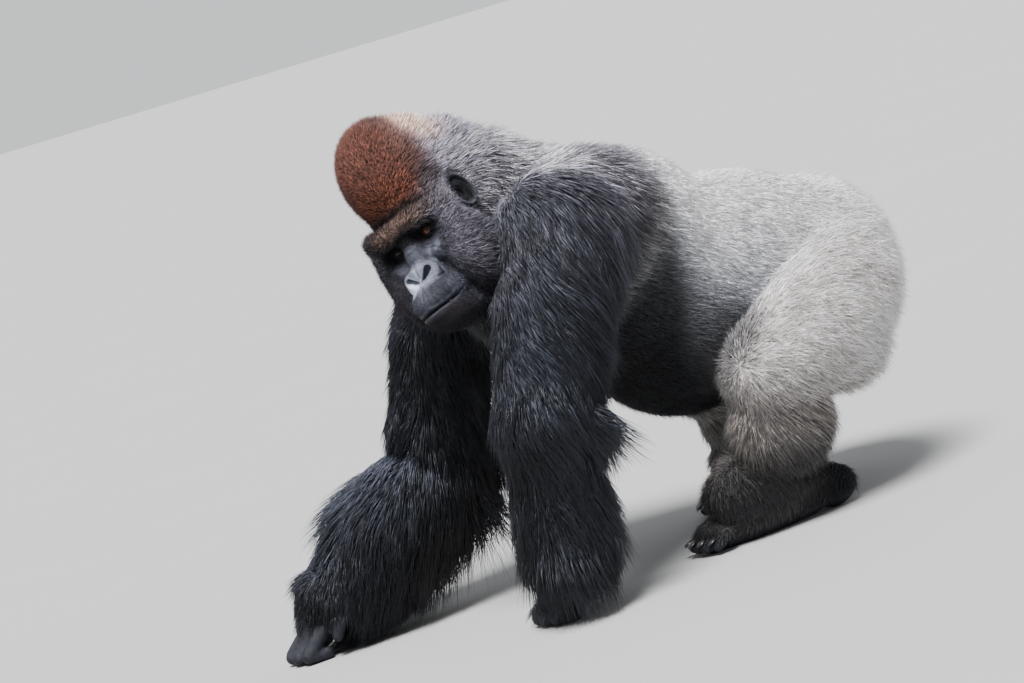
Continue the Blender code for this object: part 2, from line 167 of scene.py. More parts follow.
GROWTH: dict[Region, Growth] = {
    Region.CREST: Growth(0.009, 0.011, 0.0012, 420000, 1.25, 0.45, 0.15, (0.0, 0.6, 0.7), RUST),
    Region.NAPE: Growth(0.01, 0.012, 0.0012, 380000, 1.3, 0.7, 0.2, (0.0, 1.0, -0.2), NAPE_GREY),
    Region.FACE: Growth(0.001, 0.0045, 0.0006, 300000, 0.4, 0.35, 0.0, (0.0, 0.5, -0.4), GREY_SKIN),
    Region.CHEEK: Growth(0.007, 0.009, 0.001, 430000, 1.0, 0.6, 0.18, (0.0, 0.7, -0.3), GRIZZLE),
    Region.EAR: Growth(0.001, 0.006, 0.0008, 30000, 0.5, 0.3, 0.0, (0.0, 0.8, 0.2), INK),
    Region.NECK: Growth(0.015, 0.03, 0.0016, 200000, 0.56, 0.34, 0.25, (0.0, 0.7, -0.7), GRIZZLE),
    Region.SADDLE: Growth(0.013, 0.021, 0.0015, 230000, 0.5, 0.3, 0.2, (0.0, 0.8, -0.5), SILVER),
    Region.BELLY: Growth(0.016, 0.04, 0.0018, 150000, 0.42, 0.22, 0.3, (0.0, 0.6, -0.8), INK),
    Region.RUMP: Growth(0.016, 0.026, 0.0015, 200000, 0.7, 0.4, 0.25, (0.0, 0.7, -0.6), SILVER),
    Region.ARM: Growth(0.022, 0.068, 0.0019, 110000, 0.26, 0.12, 0.45, (0.0, 0.2, -1.0), SLATE),
    Region.FOREARM: Growth(0.023, 0.074, 0.0019, 110000, 0.32, 0.16, 0.5, (0.0, 0.05, -1.0), SLATE),
    Region.HAND: Growth(0.004, 0.034, 0.0014, 110000, 0.26, 0.2, 0.3, (0.0, -0.35, -0.9), INK),
    Region.THIGH: Growth(0.018, 0.024, 0.0015, 200000, 0.75, 0.45, 0.25, (0.0, 0.5, -0.7), OATMEAL),
    Region.SHIN: Growth(0.017, 0.029, 0.0016, 190000, 0.54, 0.32, 0.25, (0.0, 0.15, -1.0), UMBER),
    Region.FOOT: Growth(0.005, 0.02, 0.0014, 90000, 0.35, 0.2, 0.1, (0.0, -0.6, -0.8), INK),
}


def unit(vectors: Array) -> Array:
    """Vectors of length one."""
    return vectors / np.maximum(np.linalg.norm(vectors, axis=-1, keepdims=True), 1e-9)


def ramp(values: Array, low: float, high: float) -> Array:
    """A smooth step from 0 at low to 1 at high."""
    x = np.clip((values - low) / (high - low), 0.0, 1.0)
    return x * x * (3.0 - 2.0 * x)


def melted(distances: Array, soft: float) -> Array:
    """Rows of distances made one, with the joints between them filled over a soft length."""
    least = distances.min(axis=0)
    return least - soft * np.log(np.exp(-(distances - least) / soft).sum(axis=0))


def folded(points: Array) -> Array:
    """Points mirrored onto the left side."""
    return np.column_stack([np.abs(points[:, 0]), points[:, 1:]])


def tinted(colour: Array, towards: Array | Colour, share: Array) -> Array:
    """A colour, or one for each point, moved towards another by each point's share."""
    return colour + (np.array(towards) - colour) * share[:, None]


def to_side(side: float) -> Array:
    """The factors that take a point of the left side to a side, 1 for left and -1 for right."""
    return np.array([side, 1.0, 1.0])


def swirl(points: Array, waves: float, terms: int = 7) -> Array:
    """Directions that wander smoothly over space, the same on every run.

    Args:
        points: where they are wanted.
        waves: how fast they turn, in radians to a metre.
        terms: how many waves are added up.

    Returns:
        One vector for each point, about a unit long.
    """
    chance = np.random.default_rng(SEED)
    total = np.zeros_like(points)
    for _ in range(terms):
        course = unit(chance.normal(size=3)) * waves * chance.uniform(0.6, 1.4)
        total += chance.normal(size=3) * np.sin(points @ course + chance.uniform(0.0, 6.28))[:, None]
    return total / math.sqrt(terms)


def head_matrix() -> Array:
    """The head's frame as a four by four matrix in floor coordinates.

    Returns:
        The matrix, from head units to metres.
    """
    turn = Matrix.Rotation(math.radians(HEAD_TURN), 4, "Z")
    nod = Matrix.Rotation(math.radians(HEAD_NOD), 4, "X")
    tilt = Matrix.Rotation(math.radians(HEAD_TILT), 4, "Y")
    return np.array(Matrix.Translation(HEAD_CENTRE) @ turn @ nod @ tilt @ Matrix.Scale(HEAD_UNIT, 4))


HEAD = head_matrix()
HEAD_INVERSE = np.linalg.inv(HEAD)


def placed(points: Array, matrix: Array) -> Array:
    """Points moved by a four by four matrix."""
    return points @ matrix[:3, :3].T + matrix[:3, 3]


def floor_shift() -> Array:
    """The step from floor coordinates to the frame's, found from the left eye.

    Returns:
        The step, level with the floor.
    """
    low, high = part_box("eye_left")
    middle = (np.array(low) + np.array(high)) / 2.0
    shift = middle - placed(np.array([EYE_AT]), HEAD)[0]
    shift[2] = 0.0
    return shift


@dataclass(frozen=True)
class Ball:
    """An ellipsoid of flesh.

    Args:
        region: whose coat grows on it.
        centre: its middle.
        half: its half sizes along its own axes.
        nod: its turn about x, in degrees.
        spin: its turn about z, in degrees.
    """

    region: Region
    centre: Point
    half: Point
    nod: float = 0.0
    spin: float = 0.0

    def basis(self) -> Array:
        """The turn of the ellipsoid's own axes."""
        spin = Matrix.Rotation(math.radians(self.spin), 3, "Z")
        return np.array(spin @ Matrix.Rotation(math.radians(self.nod), 3, "X"))

    def extent(self) -> tuple[list, list]:
        """Centres and radii of balls that hold the mass."""
        return [self.centre], [max(self.half)]

    def distance(self, points: Array, inset: float) -> Array:
        """How far points lie outside the ellipsoid made smaller by the inset.

        Args:
            points: places, one row for each.
            inset: how much smaller the ellipsoid is, as the coat's depth.

        Returns:
            About the distance, negative inside.
        """
        local = (points - np.array(self.centre)) @ self.basis()
        half = np.maximum(np.array(self.half) - inset, LEAST_CORE * np.array(self.half))
        near = np.linalg.norm(local / half, axis=1)
        steep = np.maximum(np.linalg.norm(local / half**2, axis=1), 1e-9)
        return near * (near - 1.0) / steep

    def clay(self, lump: bmesh.types.BMesh, matrix: Matrix, inset: float) -> None:
        """Adds the ellipsoid to a lump of clay.

        Args:
            lump: what it is added to.
            matrix: the place of the group's frame.
            inset: how much smaller it is.
        """
        half = [max(side - inset, LEAST_CORE * side) for side in self.half]
        turned = Matrix(self.basis().tolist()).to_4x4()
        place = matrix @ Matrix.Translation(self.centre) @ turned @ Matrix.Diagonal((*half, 1.0))
        bmesh.ops.create_uvsphere(lump, u_segments=32, v_segments=20, radius=1.0, matrix=place)


@dataclass(frozen=True)
class Limb:
    """A chain of tapered round bars along a line.

    Args:
        region: whose coat grows on it.
        line: the chain's joints.
        half: its radius at each joint.
        ball_step: the step between its balls of clay, in radii.
    """

    region: Region
    line: tuple[Point, ...]
    half: tuple[float, ...]
    ball_step: float = 0.45

    def extent(self) -> tuple[list, list]:
        """Centres and radii of balls that hold the chain's joints."""
        return list(self.line), list(self.half)

    def distance(self, points: Array, inset: float) -> Array:
        """How far points lie outside the chain made thinner by the inset.

        Args:
            points: places, one row for each.
            inset: how much thinner the chain is, as the coat's depth.

        Returns:
            The distance, negative inside.
        """
        best = np.full(len(points), 1e9)
        spans = zip(self.line, self.line[1:], self.half, self.half[1:])
        for start, end, first, last in spans:
            along = np.array(end) - np.array(start)
            step = points - np.array(start)
            share = np.clip(step @ along / (along @ along), 0.0, 1.0)
            radius = np.maximum(first + share * (last - first) - inset, LEAST_CORE * first)
            gap = np.linalg.norm(step - share[:, None] * along, axis=1)
            best = np.minimum(best, gap - radius)
        return best

    def clay(self, lump: bmesh.types.BMesh, matrix: Matrix, inset: float) -> None:
        """Adds the chain to a lump of clay as a row of balls.

        Args:
            lump: what it is added to.
            matrix: the place of the group's frame.
            inset: how much thinner it is.
        """
        spans = zip(self.line, self.line[1:], self.half, self.half[1:])
        for start, end, first, last in spans:
            length = (Vector(end) - Vector(start)).length
            thin = max(min(first, last) - inset, LEAST_CORE * first)
            count = max(2, int(length / (self.ball_step * thin)) + 1)
            for share in np.linspace(0.0, 1.0, count):
                radius = max(first + share * (last - first) - inset, LEAST_CORE * first)
                place = matrix @ Matrix.Translation(Vector(start).lerp(Vector(end), share))
                bmesh.ops.create_icosphere(lump, subdivisions=2, radius=radius, matrix=place)


Mass = Ball | Limb


@dataclass(frozen=True)
class Group:
    """Masses that melt into each other, in one frame.

    Args:
        masses: the balls and limbs.
        softness: how far the joints between them are filled, in the frame's units.
        matrix: the frame's place in floor coordinates.
        scale: metres to one unit of the frame.
    """

    masses: tuple[Mass, ...]
    softness: float
    matrix: Array
    scale: float = 1.0

    def inset(self, mass: Mass) -> float:
        """The coat's depth over a mass, in the frame's units."""
        return GROWTH[mass.region].depth / self.scale

    def near(self, points: Array, margin: float = 0.06) -> Array:
        """Whether each point lies in the group's box grown by the margin.

        Args:
            points: places, one row for each.
            margin: how much the box is grown, in metres.

        Returns:
            True for each point in the box.
        """
        lows, highs = [], []
        for mass in self.masses:
            centres, radii = mass.extent()
            centres = placed(np.array(centres), self.matrix)
            radii = np.array(radii)[:, None] * self.scale
            lows.append((centres - radii).min(axis=0))
            highs.append((centres + radii).max(axis=0))
        low, high = np.min(lows, axis=0) - margin, np.max(highs, axis=0) + margin
        return ((points > low) & (points < high)).all(axis=1)

    def distances(self, points: Array) -> Array:
        """The distance of each point from each mass, in metres; far points are one metre away.

        Args:
            points: places, one row for each.

        Returns:
            One row for each mass.
        """
        near = self.near(points)
        local = placed(points[near], np.linalg.inv(self.matrix))
        every = np.ones((len(self.masses), len(points)))
        for row, mass in zip(every, self.masses):
            row[near] = mass.distance(local, self.inset(mass)) * self.scale
        return every

    def melted(self, points: Array) -> Array:
        """The distance of each point from the melted masses, in metres, negative inside."""
        return melted(self.distances(points), self.softness * self.scale)


def ear_ball(side: float) -> Ball:
    """The mass of the left ear, 1, or the right one, -1."""
    return Ball(Region.EAR, (side * EAR_AT[0], *EAR_AT[1:]), EAR_HALF, EAR_NOD, side * EAR_SPIN)


def head_masses() -> tuple[Mass, ...]:
    """The masses of the head in head units.

    Returns:
        The balls and limbs.
    """
    crest, nape, face, cheek = Region.CREST, Region.NAPE, Region.FACE, Region.CHEEK
    brow = (
        (-7.7, -6.8, 4.2), (-3.6, -8.9, 3.4), (0.0, -9.2, 3.0), (3.6, -8.9, 3.3), (7.5, -6.1, 2.6),
    )
    right_cheek = ((-7.7, -6.7, 3.2), (-7.7, -6.7, 1.0), (-7.7, -6.7, -1.5), (-7.2, -6.2, -5.0))
    made: list[Mass] = [
        Ball(nape, (0.1, 0.3, 3.9), (9.2, 9.8, 9.5)),
        Ball(crest, (0.2, -1.5, 12.1), (8.8, 8.8, 10.8)),
        Ball(nape, (2.2, 2.6, 10.6), (8.4, 8.2, 10.6)),
        Ball(nape, (4.6, 8.4, 7.8), (8.0, 7.2, 9.7)),
        Ball(cheek, (0.0, -3.2, -5.0), (7.2, 6.5, 9.5)),
        Ball(face, (0.0, -9.0, -9.8), (5.1, 6.8, 4.4), 12.0),
        Ball(face, (0.0, -12.9, -10.1), (4.2, 3.6, 2.2), 14.0),
        Ball(face, (0.0, -11.9, -12.95), (3.8, 4.2, 1.45)),
        Ball(face, (0.0, -9.8, -14.0), (4.4, 5.5, 2.8)),
        Ball(cheek, (0.0, -4.0, -13.2), (6.8, 7.0, 4.6)),
        Ball(face, (0.0, -11.0, -5.3), (2.2, 1.9, 1.9)),
        Limb(cheek, brow, (1.9, 2.2, 2.0, 2.2, 1.8)),
        Limb(face, ((0.0, -7.6, 1.5), (0.0, -9.3, -3.0)), (2.2, 2.2)),
        Limb(cheek, right_cheek, (1.8, 2.2, 2.6, 2.7)),
    ]
    for side in (1.0, -1.0):
        made += [
            Ball(cheek, (side * 6.6, -4.2, 1.0), (2.9, 4.0, 4.4)),
            Ball(cheek, (side * 6.5, -3.8, -6.8), (5.2, 6.5, 8.3)),
            Ball(cheek, (side * 7.0, -5.4, -3.0), (3.7, 3.5, 3.9)),
            Limb(face, ((side * 6.4, -4.8, -2.0), (side * 4.2, -7.8, -4.0)), (2.0, 1.9)),
            Ball(face, (side * 2.35, -11.3, -6.0), (1.3, 1.5, 1.65)),
            ear_ball(side),
        ]
    return tuple(made)


def trunk_masses() -> tuple[Mass, ...]:
    """The masses of rump, belly, chest and neck.

    Returns:
        The balls and limbs, in metres.
    """
    rump, belly, saddle, neck = Region.RUMP, Region.BELLY, Region.SADDLE, Region.NECK
    return (
        Ball(rump, (0.0, 0.03, 0.475), (0.195, 0.195, 0.2), -20.0),
        Ball(rump, (0.085, 0.055, 0.43), (0.12, 0.135, 0.16), -10.0),
        Ball(rump, (-0.085, 0.095, 0.43), (0.12, 0.135, 0.16), -10.0),
        Ball(saddle, (0.0, -0.13, 0.51), (0.205, 0.26, 0.225), -24.0),
        Ball(saddle, (0.0, -0.295, 0.505), (0.235, 0.235, 0.25), -20.0),
        Ball(saddle, (0.0, -0.41, 0.625), (0.262, 0.235, 0.243), -26.0),
        Ball(belly, (0.0, -0.56, 0.68), (0.245, 0.185, 0.21), -20.0),
        Ball(neck, (0.0, -0.56, 0.79), (0.185, 0.165, 0.128), -22.0),
        Ball(neck, (0.155, -0.505, 0.732), (0.128, 0.16, 0.155), -10.0),
        Ball(neck, (-0.155, -0.505, 0.732), (0.128, 0.16, 0.155), -10.0),
        Limb(neck, ((0.0, -0.65, 0.845), (-0.005, -0.7, 0.868), (0.005, -0.745, 0.872)),
             (0.14, 0.136, 0.108)),
        Limb(neck, ((0.0, -0.64, 0.7), (0.02, -0.735, 0.745)), (0.13, 0.105)),
    )


@dataclass(frozen=True)
class Hand:
    """A hand that walks on the backs of its folded fingers; sizes in metres."""

    palm: tuple[Point, ...]
    palm_half: tuple[float, ...]
    way: tuple[float, float]
    thumb: tuple[Point, ...]
    thumb_half: tuple[float, ...] = (0.024, 0.019, 0.016)
    spread: tuple[float, ...] = (-0.043, -0.015, 0.015, 0.042)
    reach: tuple[float, ...] = (0.052, 0.062, 0.058, 0.044)
    half: float = 0.0185
    tuck: float = 0.04
    lift: float = 0.014
    knuckle: float = 0.062
    rise: float = 0.004
    swell: float = 0.002

    def masses(self) -> tuple[Mass, ...]:
        """The palm, the thumb and four folded fingers.

        Returns:
            The limbs, in metres.
        """
        ahead = unit(np.array([*self.way, 0.0]))
        aside = np.array([-ahead[1], ahead[0], 0.0])
        foot = np.array([*self.palm[-1][:2], 0.0])
        made: list[Mass] = [
            Limb(Region.HAND, self.palm, self.palm_half),
            Limb(Region.HAND, self.thumb, self.thumb_half),
        ]
        for spread, reach in zip(self.spread, self.reach):
            root = foot + aside * spread + np.array([0.0, 0.0, self.knuckle])
            bend = foot + aside * spread + ahead * reach + np.array([0.0, 0.0, self.lift + self.rise])
            tip = bend - ahead * self.tuck - np.array([0.0, 0.0, self.rise])
            line = (tuple(root), tuple(bend), tuple(tip))
            made.append(Limb(Region.HAND, line, (self.half + self.swell, self.half, self.half)))
        return tuple(made)


@dataclass(frozen=True)
class Foot:
    """A flat foot with four small toes and a big toe set apart; sizes in metres."""

    sole: tuple[Point, ...]
    sole_half: tuple[float, ...]
    big_toe: tuple[Point, ...]
    instep: tuple[Point, Point]
    heel: tuple[Point, Point]
    big_toe_half: tuple[float, float] = (0.034, 0.025)
    toe_root: float = 0.021
    toe_half: float = 0.0165
    toe_back: float = 0.01
    toe_rise: float = 0.006
    toe_height: float = 0.019
    toes: tuple[tuple[float, float], ...] = (
        (-0.021, 0.034), (0.004, 0.036), (0.028, 0.026), (0.048, 0.01),
    )

    def toe_lines(self) -> list[tuple[Array, Array]]:
        """The root and tip of each small toe, from the inner one outwards.

        Returns:
            Pairs of root and tip.
        """
        start, end = np.array(self.sole[-2]), np.array(self.sole[-1])
        ahead = unit(np.array([*(end - start)[:2], 0.0]))
        outer = np.sign(self.sole[0][0]) * np.array([-ahead[1], ahead[0], 0.0]) * -np.sign(ahead[1])
        lines = []
        for place, reach in self.toes:
            root = end + outer * place - ahead * self.toe_back + np.array([0.0, 0.0, self.toe_rise])
            tip = end + outer * place + ahead * reach
            tip[2] = self.toe_height
            lines.append((root, tip))
        return lines

    def masses(self) -> tuple[Mass, ...]:
        """The sole, heel, instep and toes.

        Returns:
            The balls and limbs, in metres.
        """
        made: list[Mass] = [
            Limb(Region.FOOT, self.sole, self.sole_half),
            Limb(Region.FOOT, self.big_toe, self.big_toe_half),
            Ball(Region.SHIN, *self.instep),
            Ball(Region.FOOT, *self.heel),
        ]
        for root, tip in self.toe_lines():
            line = (tuple(root), tuple(tip))
            made.append(Limb(Region.FOOT, line, (self.toe_root, self.toe_half)))
        return tuple(made)


LEFT_HAND = Hand(
    palm=((0.242, -0.785, 0.12), (0.22, -0.805, 0.062)),
    palm_half=(0.092, 0.046),
    way=(-0.1, -1.0),
    thumb=((0.175, -0.76, 0.11), (0.15, -0.79, 0.07), (0.148, -0.812, 0.035)),
)
RIGHT_HAND = Hand(
    palm=((-0.318, -1.095, 0.105), (-0.322, -1.14, 0.06)),
    palm_half=(0.08, 0.046),
    way=(-0.05, -1.0),
    thumb=((-0.255, -1.075, 0.105), (-0.242, -1.11, 0.075), (-0.245, -1.125, 0.045)),
)
LEFT_FOOT = Foot(
    sole=((0.15, -0.2, 0.06), (0.142, -0.34, 0.045), (0.135, -0.425, 0.03)),
    sole_half=(0.062, 0.056, 0.038),
    big_toe=((0.11, -0.3, 0.032), (0.074, -0.385, 0.026)),
    instep=((0.165, -0.312, 0.108), (0.072, 0.132, 0.08)),
    heel=((0.145, -0.135, 0.045), (0.05, 0.06, 0.05)),
)
RIGHT_FOOT = Foot(
    sole=((-0.2, -0.05, 0.06), (-0.208, -0.15, 0.045), (-0.213, -0.215, 0.03)),
    sole_half=(0.06, 0.054, 0.038),
    big_toe=((-0.172, -0.11, 0.032), (-0.146, -0.185, 0.026)),
    instep=((-0.195, -0.125, 0.11), (0.07, 0.105, 0.075)),
    heel=((-0.19, -0.01, 0.045), (0.05, 0.06, 0.05)),
)


def limb_masses() -> tuple[Mass, ...]:
    """The masses of the arms and the legs down to wrist and ankle.

    Returns:
        The balls and limbs, in metres.
    """
    arm, fore, thigh, shin = Region.ARM, Region.FOREARM, Region.THIGH, Region.SHIN
    return (
        Limb(arm, ((0.205, -0.585, 0.72), (0.25, -0.665, 0.6), (0.295, -0.765, 0.41)),
             (0.148, 0.132, 0.112)),
        Limb(fore, ((0.295, -0.765, 0.41), (0.275, -0.775, 0.3), (0.252, -0.777, 0.17)),
             (0.112, 0.104, 0.112)),
        Ball(fore, (0.29, -0.69, 0.36), (0.06, 0.05, 0.07)),
        Limb(arm, ((-0.205, -0.6, 0.715), (-0.26, -0.7, 0.57), (-0.295, -0.76, 0.38)),
             (0.145, 0.118, 0.112)),
        Limb(fore, ((-0.295, -0.76, 0.38), (-0.3, -0.785, 0.29), (-0.305, -0.94, 0.2),
                    (-0.315, -1.05, 0.12)), (0.112, 0.122, 0.128, 0.102)),
        Ball(fore, (-0.29, -0.7, 0.3), (0.06, 0.06, 0.09)),
        Limb(thigh, ((0.115, 0.0, 0.43), (0.185, -0.1, 0.385), (0.215, -0.225, 0.335)),
             (0.165, 0.15, 0.125)),
        Ball(thigh, (0.16, -0.03, 0.325), (0.11, 0.12, 0.115)),
        Ball(shin, (0.2, -0.225, 0.225), (0.098, 0.122, 0.13)),
        Limb(thigh, ((-0.12, 0.04, 0.43), (-0.165, -0.05, 0.38), (-0.175, -0.18, 0.31)),
             (0.165, 0.15, 0.112)),
        Ball(thigh, (-0.16, 0.01, 0.335), (0.11, 0.12, 0.115)),
        Ball(shin, (-0.185, -0.115, 0.21), (0.092, 0.115, 0.13)),
    )


class Flesh:
    """The whole body under its coat, as melted masses with eye sockets hollowed out."""

    softness = 0.006
    socket_softness = 0.22
    lid_softness = 0.16
    least_slope = 0.15
    eye_radius = 1.21
    lid_thickness = 0.2
    socket_at = (3.65, -10.1, -0.05)
    socket_half = (2.5, 2.35, 1.3)

    def __init__(self) -> None:
        """Sorts the masses into their groups."""
        plain = np.eye(4)
        self.head = Group(head_masses(), 0.42, HEAD, HEAD_UNIT)
        self.groups = (
            self.head,
            Group(trunk_masses(), 0.014, plain),
            Group(limb_masses(), 0.009, plain),
            Group(LEFT_HAND.masses(), 0.0035, plain),
            Group(RIGHT_HAND.masses(), 0.0035, plain),
            Group(LEFT_FOOT.masses(), 0.004, plain),
            Group(RIGHT_FOOT.masses(), 0.004, plain),
        )

    def head_distance(self, points: Array) -> Array:
        """The distance from the head, with sockets sunk in and lids over the eyes.

        Args:
            points: places, one row for each.

        Returns:
            The distance in metres, negative inside; far points are one metre away.
        """
        full = np.ones(len(points))
        near = self.head.near(points)
        points = points[near]
        value = self.head.melted(points) / HEAD_UNIT
        local = folded(placed(points, HEAD_INVERSE))
        socket = Ball(Region.FACE, self.socket_at, self.socket_half).distance(local, 0.0)
        soft = self.socket_softness
        value = value + soft * np.logaddexp(0.0, (-socket - value) / soft)
        lid = np.linalg.norm(local - np.array(EYE_AT), axis=1) - (self.eye_radius + self.lid_thickness)
        soft = self.lid_softness
        value = value - soft * np.logaddexp(0.0, (value - lid) / soft)
        full[near] = value * HEAD_UNIT
        return full

    def distance(self, points: Array) -> Array:
        """The distance of points from the skin, in metres, negative inside.

        Args:
            points: places, one row for each.

        Returns:
            The distance of each.
        """
        every = [self.head_distance(points)]
        every += [group.melted(points) for group in self.groups[1:]]
        return melted(np.stack(every), self.softness)

    def gradient(self, points: Array, value: Array, step: float = 4e-4) -> Array:
        """The slope of the distance."""
        slopes = [(self.distance(points + way * step) - value) / step for way in np.eye(3)]
        return np.stack(slopes, axis=1)

    def settle(self, points: Array, rounds: int = 3, most: float = 0.012) -> Array:
        """Moves points onto the skin.

        Args:
            points: places, one row for each.
            rounds: how many steps they take.
            most: the longest step, in metres.

        Returns:
            The points on the skin.
        """
        for _ in range(rounds):
            value = self.distance(points)
            slope = self.gradient(points, value)
            size = np.maximum((slope**2).sum(axis=1), self.least_slope)
            move = -(value / size)[:, None] * slope
            length = np.linalg.norm(move, axis=1, keepdims=True)
            points = points + move * np.minimum(1.0, most / np.maximum(length, 1e-9))
        return points

    def shares(self, points: Array, softness: float = 0.012) -> Array:
        """How much each region owns each point; rows add up to one.

        Args:
            points: places, one row for each.
            softness: over how many metres one region gives way to the next.

        Returns:
            One row for each point, one column for each region.
        """
        values, owners = [], []
        for group in self.groups:
            every = group.distances(points)
            values.append(every)
            owners += [mass.region.value for mass in group.masses]
        stack = np.concatenate(values)
        least = stack.min(axis=0)
        weight = np.exp(-(stack - least) / softness)
        shares = np.zeros((len(points), len(Region)))
        for row, owner in zip(weight, owners):
            shares[:, owner] += row
        return shares / shares.sum(axis=1, keepdims=True)


def settled(made: bpy.types.Object) -> bpy.types.Mesh:
    """The object's evaluated mesh; the object itself is removed.

    Args:
        made: the object, with its modifiers.

    Returns:
        The mesh, free of modifiers.
    """
    bpy.context.view_layer.update()
    evaluated = made.evaluated_get(bpy.context.evaluated_depsgraph_get())
    mesh = bpy.data.meshes.new_from_object(evaluated)
    bpy.data.objects.remove(made)
    return mesh


def linked(name: str, mesh: bpy.types.Mesh) -> bpy.types.Object:
    """A new object in the scene.

    Args:
        name: its name.
        mesh: its mesh.

    Returns:
        The object.
    """
    made = bpy.data.objects.new(name, mesh)
    bpy.context.scene.collection.objects.link(made)
    return made


def fired(name: str, clay: bmesh.types.BMesh) -> bpy.types.Mesh:
    """A mesh made of clay, which is used up.

    Args:
        name: the mesh's name.
        clay: the clay.

    Returns:
        The mesh.
    """
    mesh = bpy.data.meshes.new(name)
    clay.to_mesh(mesh)
    clay.free()
    return mesh


def points_of(mesh: bpy.types.Mesh) -> Array:
    """The vertices of a mesh.

    Args:
        mesh: the mesh.

    Returns:
        Their places, one row for each.
    """
    flat = np.empty(len(mesh.vertices) * 3)
    mesh.vertices.foreach_get("co", flat)
    return flat.reshape(-1, 3)


def ring(points: Array, centre: Point, half: Point) -> Array:
    """How far out each point lies from the middle of an ellipsoid, 1 on its surface."""
    return np.linalg.norm((points - np.array(centre)) / np.array(half), axis=1)


@dataclass(frozen=True)
class Zone:
    """An ellipsoid in head or floor coordinates within which the skin's mesh is made finer."""

    centre: Point
    half: Point
    in_head: bool = True

    def holds(self, points: Array) -> Array:
        """Whether each point lies in the zone."""
        where = placed(points, HEAD_INVERSE) if self.in_head else points
        return ring(where, self.centre, self.half) < 1.0


@dataclass(frozen=True)
class Stroke:
    """A groove or ridge drawn over the skin of the head.

    Args:
        line: its course in head units; it is laid onto the skin before use.
        width: half its width.
        height: how high it stands, negative for a groove.
        both: whether the other side of the head has it too.
        joined: whether both sides' lines meet in the middle as one.
        edge: the power of its falloff, higher for a flat bottom and steep sides.
        step: how far apart its points are.
        taper: how high its first end stands, as a share of half a wave.
    """

    line: tuple[Point, ...]
    width: float
    height: float
    both: bool = True
    joined: bool = False
    edge: float = 2.0
    step: float = 0.12
    taper: float = 0.12

    def course(self) -> Array:
        """Points along the line, smoothed where there are more than three.

        Returns:
            The points, smoothed where there are more than three.
        """
        joints = np.array(self.line)
        points = [joints[0]]
        for start, end in zip(joints, joints[1:]):
            count = max(1, int(np.linalg.norm(end - start) / self.step))
            points += [start + (end - start) * number / count for number in range(1, count + 1)]
        row = np.array(points)
        for _ in range(3 if len(row) > 3 else 0):
            row[1:-1] = (row[:-2] + 2.0 * row[1:-1] + row[2:]) / 4.0
        return row

    def courses(self) -> list[Array]:
        """The line on one side of the head, on both, or as one across the middle.

        Returns:
            One line or two.
        """
        line = self.course()
        if self.joined:
            return [np.concatenate([line[:0:-1] * to_side(-1.0), line])]
        return [line, line * to_side(-1.0)] if self.both else [line]


